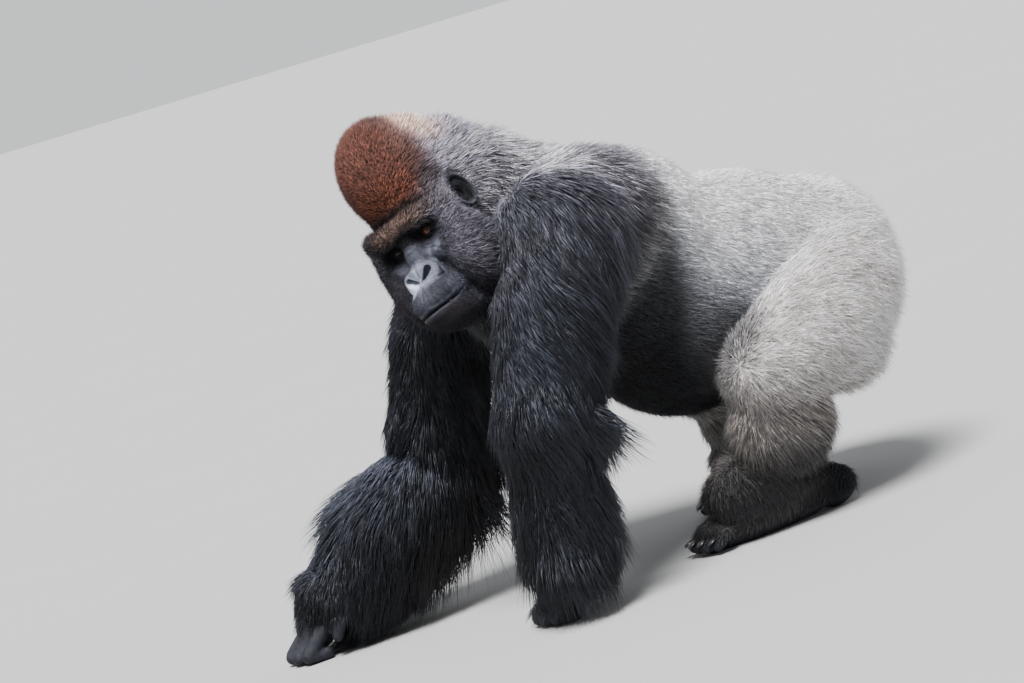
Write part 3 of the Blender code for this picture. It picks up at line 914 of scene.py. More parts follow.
STROKES: tuple[Stroke, ...] = (
    # The fold round the nose pad, then the pad's raised wings.
    Stroke(((1.3, -10.6, -1.6), (2.5, -10.4, -3.0), (3.5, -10.4, -4.7), (3.95, -10.4, -6.5),
            (3.3, -11.0, -8.0), (2.0, -12.0, -8.9)), 0.26, -0.52),
    Stroke(((0.9, -12.8, -4.3), (2.0, -12.4, -4.0), (3.1, -11.7, -4.8), (3.4, -11.4, -6.2),
            (2.8, -12.0, -7.4)), 0.6, 0.34),
    # The groove down the pad, the septum and the groove under it.
    Stroke(((0.0, -12.0, -3.0), (0.0, -12.9, -5.6)), 0.26, -0.3, False),
    Stroke(((0.0, -13.2, -6.2), (0.0, -13.4, -7.5)), 0.3, 0.2, False),
    Stroke(((0.0, -13.6, -7.9), (0.0, -15.4, -10.6)), 0.24, -0.22, False),
    Stroke(((0.55, -13.6, -7.9), (0.75, -14.6, -9.4)), 0.3, 0.16),
    Stroke(((0.5, -13.3, -7.6), (1.7, -13.0, -7.9), (2.9, -12.3, -7.7)), 0.24, -0.18),
    # Upper lip bulges and the edges of both lips.
    Stroke(((1.9, -13.8, -8.9), (2.3, -14.3, -10.0)), 1.2, 0.22),
    Stroke(((0.0, -16.5, -11.35), (2.5, -14.9, -11.35), (4.6, -11.7, -11.1)), 0.3, 0.22, joined=True),
    Stroke(((0.0, -16.2, -12.62), (2.5, -14.8, -12.62), (4.7, -11.5, -12.4)), 0.34, 0.26, joined=True),
    Stroke(((0.0, -16.0, -11.97), (1.6, -15.3, -12.03), (2.9, -14.0, -12.03), (4.2, -12.0, -11.92),
            (5.3, -10.4, -11.75)), 0.17, -0.7, joined=True),
    # Fine folds of the upper lip.
    Stroke(((0.65, -14.4, -9.0), (0.75, -15.6, -10.6), (0.8, -16.0, -11.3)), 0.13, -0.13),
    Stroke(((1.35, -14.2, -9.0), (1.6, -15.2, -10.4), (1.8, -15.4, -11.3)), 0.13, -0.12),
    Stroke(((2.2, -13.6, -8.9), (2.6, -14.4, -10.2), (2.9, -14.4, -11.3)), 0.14, -0.12),
    Stroke(((3.2, -12.6, -8.8), (3.6, -13.0, -10.0), (3.8, -13.0, -11.2)), 0.15, -0.13),
    Stroke(((5.5, -9.9, -10.6), (6.0, -9.2, -11.7), (5.9, -9.0, -13.0)), 0.35, -0.18),
    # Creases under the eyes.
    Stroke(((1.9, -9.7, -1.2), (2.9, -9.4, -2.2), (4.0, -8.9, -3.2), (4.8, -8.2, -4.5)), 0.17, -0.3),
    Stroke(((2.0, -9.6, -0.9), (3.2, -9.2, -1.6), (4.8, -8.6, -2.1), (6.2, -7.4, -2.4)), 0.16, -0.24),
    Stroke(((1.6, -10.2, -2.0), (2.4, -10.1, -3.2), (3.2, -10.0, -4.4)), 0.15, -0.2),
    Stroke(((4.3, -9.4, -5.4), (4.9, -9.2, -7.2), (5.3, -9.0, -9.2)), 0.24, -0.2),
    Stroke(((3.3, -12.0, -9.2), (4.2, -11.2, -9.9), (4.7, -10.8, -10.8)), 0.22, -0.12),
    # Frown lines and the folds of the lids.
    Stroke(((0.75, -10.4, 1.0), (0.95, -10.8, 2.6), (1.2, -10.7, 4.0)), 0.2, -0.22),
    Stroke(((0.0, -10.4, 0.4), (0.0, -10.8, 2.0)), 0.2, -0.16, False),
    Stroke(((-1.2, -10.3, -0.2), (0.0, -10.5, 0.05), (1.2, -10.3, -0.2)), 0.15, -0.16, False),
    Stroke(((-1.3, -10.6, -1.0), (0.0, -10.9, -0.7), (1.3, -10.6, -1.0)), 0.15, -0.16, False),
    Stroke(((-1.4, -10.9, -1.9), (0.0, -11.2, -1.6), (1.4, -10.9, -1.9)), 0.15, -0.14, False),
    Stroke(((1.6, -9.0, 0.35), (2.5, -9.0, 0.95), (3.8, -8.8, 1.1), (5.1, -8.1, 0.7),
            (5.8, -7.3, 0.1)), 0.17, -0.26),
    Stroke(((1.9, -9.1, -0.6), (2.9, -9.1, -1.0), (4.1, -8.8, -1.0), (5.2, -8.0, -0.6)), 0.15, -0.16),
    # The crease between brow and crest, and the fold on the crest.
    Stroke(((-7.4, -6.0, 4.4), (-3.6, -8.9, 5.2), (0.0, -9.6, 5.5), (3.6, -8.9, 5.2),
            (7.4, -6.0, 4.4)), 0.6, -0.5, False),
    Stroke(((5.4, -4.8, 18.6), (5.2, -6.2, 16.4), (5.2, -6.8, 14.2)), 0.5, -0.35, False),
)


@dataclass(frozen=True)
class EyeOpening:
    """The almond between the lids, on the eyeball's surface, in head units and degrees."""

    outer: float = 0.98
    inner: float = 1.32
    upper: float = 0.66
    lower: float = 0.58
    tilt: float = 0.1
    toe_out: float = 8.0
    fullness: float = 0.85
    tear_start: float = 0.5
    tear_dip: float = 0.16

    def measure(self, directions: Array) -> Array:
        """How far inside the almond each direction from the left eye's centre lies.

        Args:
            directions: unit vectors from the centre of the left eye.

        Returns:
            How far inside the almond each lies.
        """
        turn = math.radians(self.toe_out)
        ahead = np.array([math.sin(turn), -math.cos(turn), 0.0])
        aside = np.array([math.cos(turn), math.sin(turn), 0.0])
        radius = Flesh.eye_radius
        forward = directions @ ahead
        across = np.arctan2(directions @ aside, forward) * radius
        height = np.arcsin(np.clip(directions[:, 2], -1.0, 1.0)) * radius
        span = np.where(across > 0.0, self.outer, self.inner)
        room = np.clip(1.0 - (across / span) ** 2, 0.0, 1.0) ** self.fullness
        dip = np.clip(-across - self.tear_start, 0.0, None) ** 2
        height = height - self.tilt * across + self.tear_dip * dip
        inside = np.minimum(self.upper * room - height, height + self.lower * room)
        inside = np.where(np.abs(across) < span, inside, span - np.abs(across))
        return np.where(forward > 0.1, inside, -1.0)


@dataclass
class HeadSculpt:
    """The fine forms of face and ears, worked into the skin; sizes in head units."""

    flesh: Flesh
    nostril: tuple[Point, ...] = ((0.62, -13.1, -6.85), (1.35, -12.9, -6.35), (2.3, -12.5, -5.65))
    nostril_width: float = 0.68
    nostril_depth: float = 2.0
    nostril_way: Point = (-0.1, 0.9, 0.35)
    narrowed: EyeOpening = EyeOpening(upper=0.14, lower=0.1)
    lid_reach: float = 0.9
    lid_rim: float = 0.05
    eye_gap: float = 0.9

    def laid(self, line: Array) -> Array:
        """A line laid onto the skin, in head units."""
        return placed(self.flesh.settle(placed(line, HEAD), 6), HEAD_INVERSE)

    def press(self, local: Array, normals: Array, stroke: Stroke) -> None:
        """Works one stroke into the points, in place.

        Args:
            local: the head's points, in head units.
            normals: the skin's slope at each.
            stroke: the groove or ridge.
        """
        for course in stroke.courses():
            line = self.laid(course)
            reach = 3.0 * stroke.width
            inside = (local > line.min(axis=0) - reach) & (local < line.max(axis=0) + reach)
            near = np.where(inside.all(axis=1))[0]
            if not len(near):
                continue
            gap = np.linalg.norm(local[near][:, None, :] - line[None, :, :], axis=2)
            nearest = gap.argmin(axis=1)
            least = gap.min(axis=1)
            share = nearest / max(1, len(line) - 1)
            taper = np.sin(np.pi * (stroke.taper + (1.0 - 2.0 * stroke.taper) * share))
            fall = np.exp(-((least / stroke.width) ** stroke.edge))
            local[near] += normals[near] * (stroke.height * taper * fall)[:, None]

    def bore(self, local: Array) -> None:
        """Opens the nostrils.

        Args:
            local: the head's points, in head units; they are moved.
        """
        for side in (1.0, -1.0):
            line = self.laid(np.array(self.nostril) * to_side(side))
            near = np.where(np.linalg.norm(local - line.mean(axis=0), axis=1) < 2.5)[0]
            start, end = line[0], line[-1]
            along = end - start
            share = np.clip((local[near] - start) @ along / (along @ along), 0.0, 1.0)
            off = local[near] - (start + share[:, None] * along)
            off[:, 1] *= 0.35
            width = self.nostril_width * (0.72 + 0.5 * share)
            depth = self.nostril_depth * ramp(-np.linalg.norm(off, axis=1) / width, -1.0, -0.35)
            local[near] += depth[:, None] * np.array(self.nostril_way) * to_side(side)

    def open_eyes(self, local: Array) -> None:
        """Draws the lids back from the eyeballs, the right ones less as that eye is narrowed.

        Args:
            local: the head's points, in head units; they are moved.
        """
        for side, opening in ((1.0, EyeOpening()), (-1.0, self.narrowed)):
            away = local * to_side(side) - np.array(EYE_AT)
            length = np.linalg.norm(away, axis=1)
            near = np.where(length < self.flesh.eye_radius + self.lid_reach)[0]
            rays = away[near] / length[near][:, None]
            inside = opening.measure(rays)
            pull = ramp(inside, -0.035, 0.045)
            rim = np.exp(-(((inside + 0.09) / 0.085) ** 2)) * self.lid_rim
            target = (length[near] + rim) * (1.0 - pull) + self.flesh.eye_radius * self.eye_gap * pull
            local[near] = (rays * target[:, None] + np.array(EYE_AT)) * to_side(side)

    def shape_ears(self, local: Array) -> None:
        """Hollows the ears inside their rims.

        Args:
            local: the head's points, in head units; they are moved.
        """
        for side in (1.0, -1.0):
            turned = ear_ball(side).basis()
            ear = (local - np.array(EAR_AT) * to_side(side)) @ turned
            ear[:, 0] *= side
            width, height = ear[:, 1] / EAR_HALF[1], ear[:, 2] / EAR_HALF[2]
            span = np.hypot(width, height)
            bowl = 1.0 - ramp(span, 0.6, 0.86)
            hole = 1.0 - ramp(np.hypot(width + 0.3, height + 0.12) / 0.34, 0.4, 1.0)
            fold = np.exp(-(((np.hypot(width + 0.35, height + 0.2) - 0.62) / 0.1) ** 2))
            fold *= ramp(width, -0.35, 0.1)
            lobe = np.exp(-(((width + 0.55) / 0.16) ** 2 + ((height + 0.15) / 0.2) ** 2))
            rim = np.exp(-(((span - 0.93) / 0.1) ** 2))
            dent = -0.8 * bowl - 0.55 * hole + 0.42 * fold * bowl + 0.3 * lobe + 0.16 * rim
            dent *= ramp(ear[:, 0], -0.1, 0.35)
            shift = dent[:, None] * np.array([side, 0.0, 0.0]) @ turned.T
            close = (span < 1.4) & (np.abs(ear[:, 0]) < 2.0)
            local[close] += shift[close]

    def work(self, points: Array, normals: Array) -> Array:
        """The points of the head with every form worked in.

        Args:
            points: the head's points, in metres.
            normals: the skin's slope at each.

        Returns:
            The moved points, in metres.
        """
        local = placed(points, HEAD_INVERSE)
        turned = unit(normals @ HEAD_INVERSE[:3, :3].T)
        for stroke in STROKES:
            self.press(local, turned, stroke)
        self.bore(local)
        self.open_eyes(local)
        self.shape_ears(local)
        return placed(local, HEAD)


@dataclass
class Skin:
    """The one skin under the coat, as plain arrays, made finer round by round in its zones."""

    flesh: Flesh
    voxel: float = 0.01
    smoothing: float = 0.35
    head_zone: Zone = Zone((0.0, -2.0, 2.0), (18.0, 24.0, 28.0))
    zones: tuple[tuple[Zone, ...], ...] = (
        (Zone((0.0, -2.0, -1.0), (12.5, 16.5, 18.0)),
         Zone((0.19, -0.81, 0.03), (0.13, 0.14, 0.1), False),
         Zone((-0.31, -1.13, 0.04), (0.13, 0.13, 0.11), False),
         Zone((0.12, -0.39, 0.0), (0.13, 0.12, 0.07), False),
         Zone((-0.19, -0.19, 0.0), (0.13, 0.12, 0.07), False)),
        (Zone((0.0, -11.5, -5.0), (7.6, 7.6, 10.5)), Zone((9.6, 0.0, 2.5), (2.6, 3.4, 4.8)),
         Zone((-9.6, 0.0, 2.5), (2.6, 3.4, 4.8))),
        (Zone((3.6, -8.8, -0.2), (3.3, 2.6, 2.4)), Zone((-3.6, -8.8, -0.2), (3.3, 2.6, 2.4)),
         Zone((0.0, -12.4, -6.0), (5.0, 3.4, 3.8)), Zone((0.0, -14.0, -12.0), (6.2, 5.6, 1.8))),
    )

    def rough(self) -> bpy.types.Mesh:
        """All masses lumped together and remeshed as one shell.

        Returns:
            The shell, of even quads.
        """
        lump = bmesh.new()
        for group in self.flesh.groups:
            matrix = Matrix(group.matrix.tolist())
            for mass in group.masses:
                mass.clay(lump, matrix, group.inset(mass))
        return self.remeshed(fired("shell", lump))

    def remeshed(self, mesh: bpy.types.Mesh) -> bpy.types.Mesh:
        """The mesh remade of even quads.

        Args:
            mesh: what is remade; it is used up.

        Returns:
            The new mesh.
        """
        made = linked("shell", mesh)
        remesh = made.modifiers.new("even", "REMESH")
        remesh.mode = "VOXEL"
        remesh.voxel_size = self.voxel
        return settled(made)

    def drawn(self, mesh: bpy.types.Mesh, rounds: int) -> None:
        """Draws the mesh onto the skin.

        Args:
            mesh: the mesh, changed in place.
            rounds: how many steps its points take.
        """
        points = self.flesh.settle(points_of(mesh), rounds)
        mesh.vertices.foreach_set("co", points.ravel())
        mesh.update()

    def finer(self, clay: bmesh.types.BMesh, zones: tuple[Zone, ...]) -> None:
        """Halves the edges inside the zones.

        Args:
            clay: the mesh, changed in place.
            zones: where its edges are halved.
        """
        points = np.array([vertex.co[:] for vertex in clay.verts])
        inside = np.zeros(len(points), bool)
        for zone in zones:
            inside |= zone.holds(points)
        clay.verts.ensure_lookup_table()
        edges = [edge for edge in clay.edges if all(inside[vertex.index] for vertex in edge.verts)]
        bmesh.ops.subdivide_edges(clay, edges=edges, cuts=1, use_grid_fill=True)
        clay.verts.index_update()
        clay.verts.ensure_lookup_table()
        fresh = np.arange(len(points), len(clay.verts))
        co = np.array([clay.verts[index].co[:] for index in fresh])
        for index, place in zip(fresh, self.flesh.settle(co, 2)):
            clay.verts[index].co = place

    def build(self) -> None:
        """Makes the skin's points, faces, normals and shares."""
        mesh = self.rough()
        self.drawn(mesh, 3)
        mesh = self.remeshed(mesh)
        self.drawn(mesh, 3)
        clay = bmesh.new()
        clay.from_mesh(mesh)
        axes = {"use_axis_x": True, "use_axis_y": True, "use_axis_z": True}
        bmesh.ops.smooth_vert(clay, verts=clay.verts, factor=self.smoothing, **axes)
        for zones in self.zones:
            self.finer(clay, zones)
        bmesh.ops.triangulate(clay, faces=clay.faces, quad_method="SHORT_EDGE")
        mesh = fired("shell", clay)
        points = self.flesh.settle(points_of(mesh), 1, 0.004)
        self.out = unit(self.flesh.gradient(points, self.flesh.distance(points)))
        in_head = self.head_zone.holds(points)
        points[in_head] = HeadSculpt(self.flesh).work(points[in_head], self.out[in_head])
        points[:, 2] = np.maximum(points[:, 2], 0.0)
        flat = np.empty(len(mesh.polygons) * 3, np.int32)
        mesh.polygons.foreach_get("vertices", flat)
        self.points = points
        self.faces = flat.reshape(-1, 3)
        self.shares = self.flesh.shares(points)


@dataclass(frozen=True)
class Patch:
    """A soft patch of colour over the body.

    Args:
        centre: its middle, in head units or in floor metres.
        half: its half sizes along the same axes.
        colour: what it turns the coat to.
        strength: how much of the colour takes, up to 1.
        in_head: whether it is given in the head's frame.
        both: whether both sides of the body have it.
        soft: the share of its size over which it fades.
    """

    centre: Point
    half: Point
    colour: Colour
    strength: float = 1.0
    in_head: bool = True
    both: bool = True
    soft: float = 0.35

    def weight(self, points: Array, local: Array) -> Array:
        """How strongly the patch covers each point.

        Args:
            points: places in metres.
            local: the same places in head units.

        Returns:
            The weight of each, from 0 to the patch's strength.
        """
        where = local if self.in_head else points
        out = ring(folded(where) if self.both else where, self.centre, self.half)
        return self.strength * (1.0 - ramp(out, 1.0 - self.soft, 1.0 + self.soft))


PATCHES: tuple[Patch, ...] = (
    # Back of the head and nape, then the crest and the dark band behind it.
    Patch((5.4, 6.9, 9.5), (9.0, 9.0, 10.0), NAPE_GREY, 0.85),
    Patch((9.2, 2.2, 14.5), (3.4, 4.6, 6.0), NAPE_GREY, 0.7),
    Patch((0.0, -9.0, 13.0), (9.6, 8.4, 10.6), RUST, 1.0, soft=0.25),
    # Pale sandy hair high on the crest, partly a painted highlight.
    Patch((8.2, 2.2, 17.4), (4.2, 4.2, 4.4), SANDY, 0.95, soft=0.55),
    Patch((3.6, -2.6, 18.6), (3.4, 2.2, 3.2), CHESTNUT, 0.75, soft=0.5),
    Patch((6.6, -3.4, 13.0), (2.4, 3.0, 4.4), CHESTNUT, 0.8, soft=0.6),
    Patch((8.2, -4.6, 10.6), (2.2, 2.6, 2.2), BURNT, 0.35, soft=0.6),
    Patch((6.9, -3.8, 7.4), (3.2, 3.6, 2.3), DUSK, 0.85, soft=0.6),
    Patch((7.4, -5.6, 3.4), (3.0, 3.0, 2.6), BROW_GREY, 0.6, soft=0.6),
    # Brighter rust low on the front of the crest, partly painted light.
    Patch((3.0, -9.4, 8.2), (5.4, 3.4, 2.6), BRIGHT_RUST, 0.8, soft=0.6),
    # Brow, temples, eyes.
    Patch((3.6, -9.0, 3.6), (5.4, 3.2, 1.5), BROW_GREY, 0.9, soft=0.4),
    Patch((1.0, -9.6, 3.2), (5.4, 2.6, 1.2), TAN, 0.75, soft=0.6),
    # Painted shade in the crease between brow and crest.
    Patch((3.0, -9.2, 5.1), (5.8, 3.8, 0.95), BURNT, 0.97, soft=0.5),
    # Painted shade over the right cheek.
    Patch((-6.0, -8.0, -3.4), (3.4, 3.6, 4.6), BROW_GREY, 0.6, both=False, soft=0.5),
    # Face and beard.
    Patch((0.0, -11.6, -7.2), (5.6, 6.2, 8.0), GREY_SKIN, 0.95),
    Patch((0.0, -12.4, -6.0), (3.8, 3.0, 2.3), NOSE_SKIN, 0.95, soft=0.4),
    Patch((4.5, -8.8, -1.8), (2.8, 3.0, 1.7), GREY_SKIN, 0.9, soft=0.5),
    # Paler grey skin under the left eye, a painted light; the right side stays darker.
    Patch((4.0, -9.0, -3.5), (2.2, 2.6, 1.5), PALE_SKIN_AND_PAINTED_LIGHT, 0.8, both=False, soft=0.6),
    # Paler skin on the philtrum, partly a painted highlight on its folds.
    Patch((0.0, -14.6, -9.3), (1.7, 2.0, 1.3), PALE_SKIN_AND_PAINTED_LIGHT, 0.6, soft=0.6),
    # A painted highlight on the right wing of the nose.
    Patch((-2.3, -12.6, -7.1), (1.9, 1.8, 1.8), PAINTED_LOBE_HIGHLIGHT, 0.8, both=False, soft=0.5),
    # Dark skin round the eyes and between them, deepened as painted shade under the brow.
    Patch((3.8, -9.0, -0.05), (3.0, 2.9, 1.85), BLACK, 1.0, soft=0.42),
    Patch((0.0, -10.2, 0.8), (3.4, 2.8, 1.25), BLACK, 1.0, soft=0.45),
    # Painted shadow over the right eye.
    Patch((-4.0, -8.8, 0.1), (2.9, 2.9, 1.8), BLACK, 1.0, both=False, soft=0.35),
    Patch((0.0, -13.0, -14.2), (5.0, 5.0, 2.3), CHIN_SKIN, 0.9),
    # Painted shade along the mouth line.
    Patch((0.0, -13.0, -12.05), (5.4, 5.2, 0.26), BLACK, 0.9, soft=0.5),
    Patch((5.5, -2.5, -11.2), (5.0, 7.5, 4.7), INK, 0.75, soft=0.6),
    Patch((4.9, -10.8, -10.0), (2.0, 2.4, 1.6), PALE_SKIN_AND_PAINTED_LIGHT, 0.85, soft=0.6),
    Patch((9.4, 3.4, 0.8), (2.8, 2.3, 5.2), PALE_GRIZZLE, 0.95),
    # Beside the nape; a painted light on the right shin; painted shade in the fold before the left thigh.
    Patch((0.122, -0.675, 0.89), (0.05, 0.06, 0.065), NAPE_GREY, 0.8, False, False, 0.7),
    Patch((-0.195, -0.24, 0.19), (0.055, 0.07, 0.085), OATMEAL, 0.75, False, False, 0.7),
    Patch((0.235, -0.31, 0.425), (0.062, 0.078, 0.085), PAINTED_FOLD_SHADE, 0.9, False, False, 0.6),
)


@dataclass(frozen=True)
class Flare:
    """A place, in floor metres, where the hair is longer, stands out and turns its own way."""

    centre: Point
    half: Point
    way: Point
    longer: float
    lift: float
    turn: float = 2.0

    def weight(self, points: Array) -> Array:
        """How strongly it works at each point."""
        return 1.0 - ramp(ring(points, self.centre, self.half), 0.45, 1.15)


FLARES: tuple[Flare, ...] = (
    # Behind the left elbow.
    Flare((0.385, -0.69, 0.372), (0.05, 0.07, 0.062), (0.25, 0.9, -0.15), 0.5, 0.75, 2.4),
    # Behind the right elbow.
    Flare((-0.215, -0.73, 0.212), (0.06, 0.07, 0.065), (0.25, 0.85, -0.6), 0.35, 0.5),
    # Round the left wrist.
    Flare((0.31, -0.84, 0.12), (0.11, 0.12, 0.08), (0.05, 0.1, -1.0), 0.9, 0.2, 1.4),
    # Down the front of the left shin.
    Flare((0.2, -0.345, 0.215), (0.08, 0.065, 0.08), (0.0, -0.5, -0.85), 0.6, 0.8, 1.6),
    # Along the front of the right forearm.
    Flare((-0.285, -0.965, 0.3), (0.085, 0.11, 0.09), (-0.2, -0.6, -0.45), 0.3, 0.45, 0.8),
)


@dataclass(frozen=True)
class Wash:
    """A colour that covers below one height, in metres, is gone over another, and leans to the rump."""

    regions: tuple[Region, ...]
    colour: Colour
    low: float
    high: float
    lean: float = 0.0

    def weight(self, points: Array) -> Array:
        """How strongly it covers each point."""
        return 1.0 - ramp(points[:, 2] + self.lean * (points[:, 1] + 0.15), self.low, self.high)


WASHES: tuple[Wash, ...] = (
    Wash((Region.THIGH, Region.SHIN), MOUSE, 0.17, 0.38, 0.3),
    Wash((Region.SHIN,), UMBER, 0.12, 0.28),
    Wash((Region.SHIN,), INK, 0.07, 0.16),
)


# Where the skin of the head is bare.
BARE: tuple[Patch, ...] = (
    Patch((0.0, -12.4, -4.6), (4.3, 5.2, 4.7), GREY_SKIN, soft=0.22),
    Patch((0.0, -12.6, -9.0), (4.9, 6.2, 3.6), GREY_SKIN, 0.5, soft=0.3),
    Patch((3.3, -9.5, -1.7), (2.6, 2.7, 2.2), GREY_SKIN, soft=0.4),
    Patch((0.0, -13.0, -12.0), (5.6, 5.6, 1.15), GREY_SKIN, soft=0.35),
    Patch((9.9, 0.0, 2.5), (1.4, 2.2, 3.5), EAR_SKIN, soft=0.25),
)


class Pelt:
    """The coat's colours, lie, lengths and density at every point of the skin."""

    knees = ((0.273, -0.331, 0.355), (-0.235, -0.255, 0.325))
    knee_reach = 0.16
    knee_turn = 1.4
    face_middle = (0.0, -12.0, -3.0)
    crop_at = (9.0, -1.8, 2.8)
    crop_half = (3.0, 3.4, 4.6)
    cropped = 0.55
    under_longer = 0.7
    under_lift = 0.5
    bare_edge_left = 0.022
    bare_edge_right = 0.075
    root_lift = 1.35
    droop_length = 0.25
    least_tone = 0.002

    def __init__(self, skin: Skin) -> None:
        """Works out every quantity of the coat from the skin's points and shares.

        Args:
            skin: the finished skin.
        """
        self.skin = skin
        self.points = skin.points
        self.local = placed(self.points, HEAD_INVERSE)
        self.out = skin.out
        self.on_head = skin.shares[:, : Region.EAR.value + 1].sum(axis=1)
        self.length, self.width, self.density = map(self.spread, ("length", "width", "density"))
        self.lift, self.stray, self.pull = map(self.spread, ("lift", "stray", "pull"))
        by_ears = ring(folded(self.local), self.crop_at, self.crop_half)
        self.length *= 1.0 - self.cropped * (1.0 - ramp(by_ears, 0.7, 1.2))
        right_fore = (self.points[:, 0] < 0.0) * self.share(Region.FOREARM)
        under_arm = right_fore * np.clip(-self.out[:, 2], 0.0, 1.0)
        self.length *= 1.0 + self.under_longer * under_arm
        self.lift += self.under_lift * under_arm
        self.flares = [(flare, flare.weight(self.points) * (1.0 - self.on_head)) for flare in FLARES]
        for flare, near in self.flares:
            self.length *= 1.0 + flare.longer * near
            self.lift += flare.lift * near
        self.naked = self.bare()
        self.density *= 1.0 - ramp(self.naked, 0.35, 0.75)
        self.grizzle = 0.45 + 0.45 * self.share(Region.NAPE, Region.NECK) + 0.45 * self.share(Region.CHEEK)
        self.colour = np.clip(self.painted(), self.least_tone, 1.0)
        self.start, self.end = self.comb()

    def spread(self, quantity: str) -> Array:
        """A quantity of the regions' growth at each point."""
        return self.skin.shares @ np.array([getattr(GROWTH[region], quantity) for region in Region])

    def share(self, *regions: Region) -> Array:
        """The share of some regions at each point."""
        return self.skin.shares[:, [region.value for region in regions]].sum(axis=1)

    def bare(self) -> Array:
        """Where the skin is bare: the middle of the face, the ears' bowls, fingers and soles.

        Returns:
            From 0, haired, to 1, naked, for each point.
        """
        bare = np.max([patch.weight(self.points, self.local) for patch in BARE], axis=0)
        height = self.points[:, 2]
        edge = np.where(self.points[:, 0] > 0.0, self.bare_edge_left, self.bare_edge_right)
        fingers = self.share(Region.HAND) * (1.0 - ramp(height, edge, edge + 0.03))
        toes = self.share(Region.FOOT) * (1.0 - ramp(height, 0.018, 0.04))
        return np.clip(np.maximum(bare, np.maximum(fingers, toes)), 0.0, 1.0)

    def bowl(self) -> Array:
        """How deep each point lies in the bowl of an ear, where painted shade darkens it.

        Returns:
            From 0 to 1 for each point.
        """
        ear = (folded(self.local) - np.array(EAR_AT)) @ ear_ball(1.0).basis()
        return 1.0 - ramp(np.hypot(ear[:, 1] / EAR_HALF[1], ear[:, 2] / EAR_HALF[2]), 0.62, 0.9)

    def arm_painted_light(self) -> Array:
        """The painted light and shade on the arms' hair: lighter where it looks outwards, ahead and up,
        darker where it looks away; the right arm has its own balance.

        Returns:
            The share by which it is lighter; 0 away from the arms.
        """
        x = self.points[:, 0]
        outer = np.clip(self.out[:, 0] * np.sign(x), 0.0, 1.0)
        front, upper = np.clip(-self.out[:, 1], 0.0, 1.0), np.clip(self.out[:, 2], 0.0, 1.0)
        own = np.where(x > 0.0, 0.3 * front + 2.6 * upper - 0.64, 3.8 * upper - 0.85)
        return self.share(Region.ARM, Region.FOREARM, Region.HAND) * (0.75 * outer + own)

    def painted(self) -> Array:
        """The regions' own colours with the markings laid over them.

        Returns:
            One colour for each point.
        """
        x, y, z = self.points.T
        silver = ramp(y + 0.35 - 0.12 * np.maximum(z - 0.6, 0.0), -0.065, 0.065) * ramp(z, 0.36, 0.5)
        silver = np.maximum(silver, ramp(z, 0.835, 0.88) * ramp(y, -0.56, -0.4))
        body = tinted(np.array(INK), BLUE_GREY, silver)
        body = tinted(body, SILVER, ramp(z + 0.25 * (y + 0.3), 0.46, 0.7) * silver)
        colour = tinted(self.spread("colour"), body, self.share(Region.SADDLE, Region.BELLY))
        mantle = ramp(z + 0.22 * np.abs(x), 0.74, 0.88) * (1.0 - 0.7 * ramp(y, -0.56, -0.46))
        cape = tinted(np.array(INK), PALE_GRIZZLE, mantle)
        colour = tinted(colour, cape, self.share(Region.NECK))
        # Painted light and shade on the arms' hair.
        colour *= (1.0 + self.arm_painted_light())[:, None]
        # Painted sky reflection: the tops of the upper arms turn paler grey.
        colour = tinted(colour, PAINTED_SHEEN_GREY, 0.8 * ramp(z, 0.58, 0.78) * self.share(Region.ARM))
        for wash in WASHES:
            colour = tinted(colour, wash.colour, wash.weight(self.points) * self.share(*wash.regions))
        colour = tinted(colour, DIGIT_SKIN, self.naked * self.share(Region.HAND, Region.FOOT))
        for patch in PATCHES:
            weight = patch.weight(self.points, self.local) * (self.on_head if patch.in_head else 1.0)
            colour = tinted(colour, patch.colour, weight)
        # The ears take their own skin colour, and their bowls are darkened to black as painted shade.
        ear = ramp(self.share(Region.EAR), 0.15, 0.5)
        return tinted(tinted(colour, EAR_SKIN, ear), BLACK, ear * self.bowl())

    def comb(self) -> tuple[Array, Array]:
        """The direction of each hair at its root and at its tip.

        Returns:
            The unit directions at root and tip.
        """
        shares = self.skin.shares
        last = Region.EAR.value + 1
        lies = np.array([GROWTH[region].lie for region in Region])
        head = shares[:, :last] @ lies[:last]
        head[:, 2] += 1.3 * ramp(self.local[:, 2], -1.0, 3.0) * self.share(Region.CHEEK)
        head = 0.9 * unit(self.local - np.array(self.face_middle)) + head
        lie = (head @ HEAD[:3, :3].T / HEAD_UNIT) * self.on_head[:, None]
        lie += shares[:, last:] @ lies[last:]
        wide = 0.55 * self.share(Region.ARM) + 0.45 * self.share(Region.SADDLE, Region.RUMP, Region.NECK)
        lie[:, 0] += np.tanh(self.points[:, 0] / 0.05) * wide
        legs = self.share(Region.THIGH, Region.SHIN)
        for knee in self.knees:
            side = (np.sign(self.points[:, 0]) == np.sign(knee[0])) * legs
            away = self.points - np.array(knee)
            gap = np.linalg.norm(away, axis=1)
            lie += self.knee_turn * (side * np.exp(-gap / self.knee_reach))[:, None] * unit(away)
        right_fore = (self.points[:, 0] < 0.0) * self.share(Region.FOREARM)
        lie += right_fore[:, None] * np.array([0.0, -0.55, 0.05])
        lie[:, 2] -= 0.5 * self.share(Region.RUMP) * ramp(self.points[:, 1], 0.1, 0.25)
        arms = self.share(Region.ARM, Region.FOREARM)
        wander = 0.13 + 0.22 * arms + 0.16 * self.share(Region.NECK) + 0.1 * legs
        lie += wander[:, None] * (swirl(self.points, 55.0) + 0.7 * swirl(self.points, 150.0))
        for flare, near in self.flares:
            lie += flare.turn * near[:, None] * unit(np.array(flare.way))
        flat = unit(lie - self.out * (lie * self.out).sum(axis=1, keepdims=True) + 1e-4)
        start = unit(flat + self.out * (self.root_lift * self.lift)[:, None])
        droop = np.array([0.0, 0.0, -1.0]) * np.clip(self.length / self.droop_length, 0.0, 0.4)[:, None]
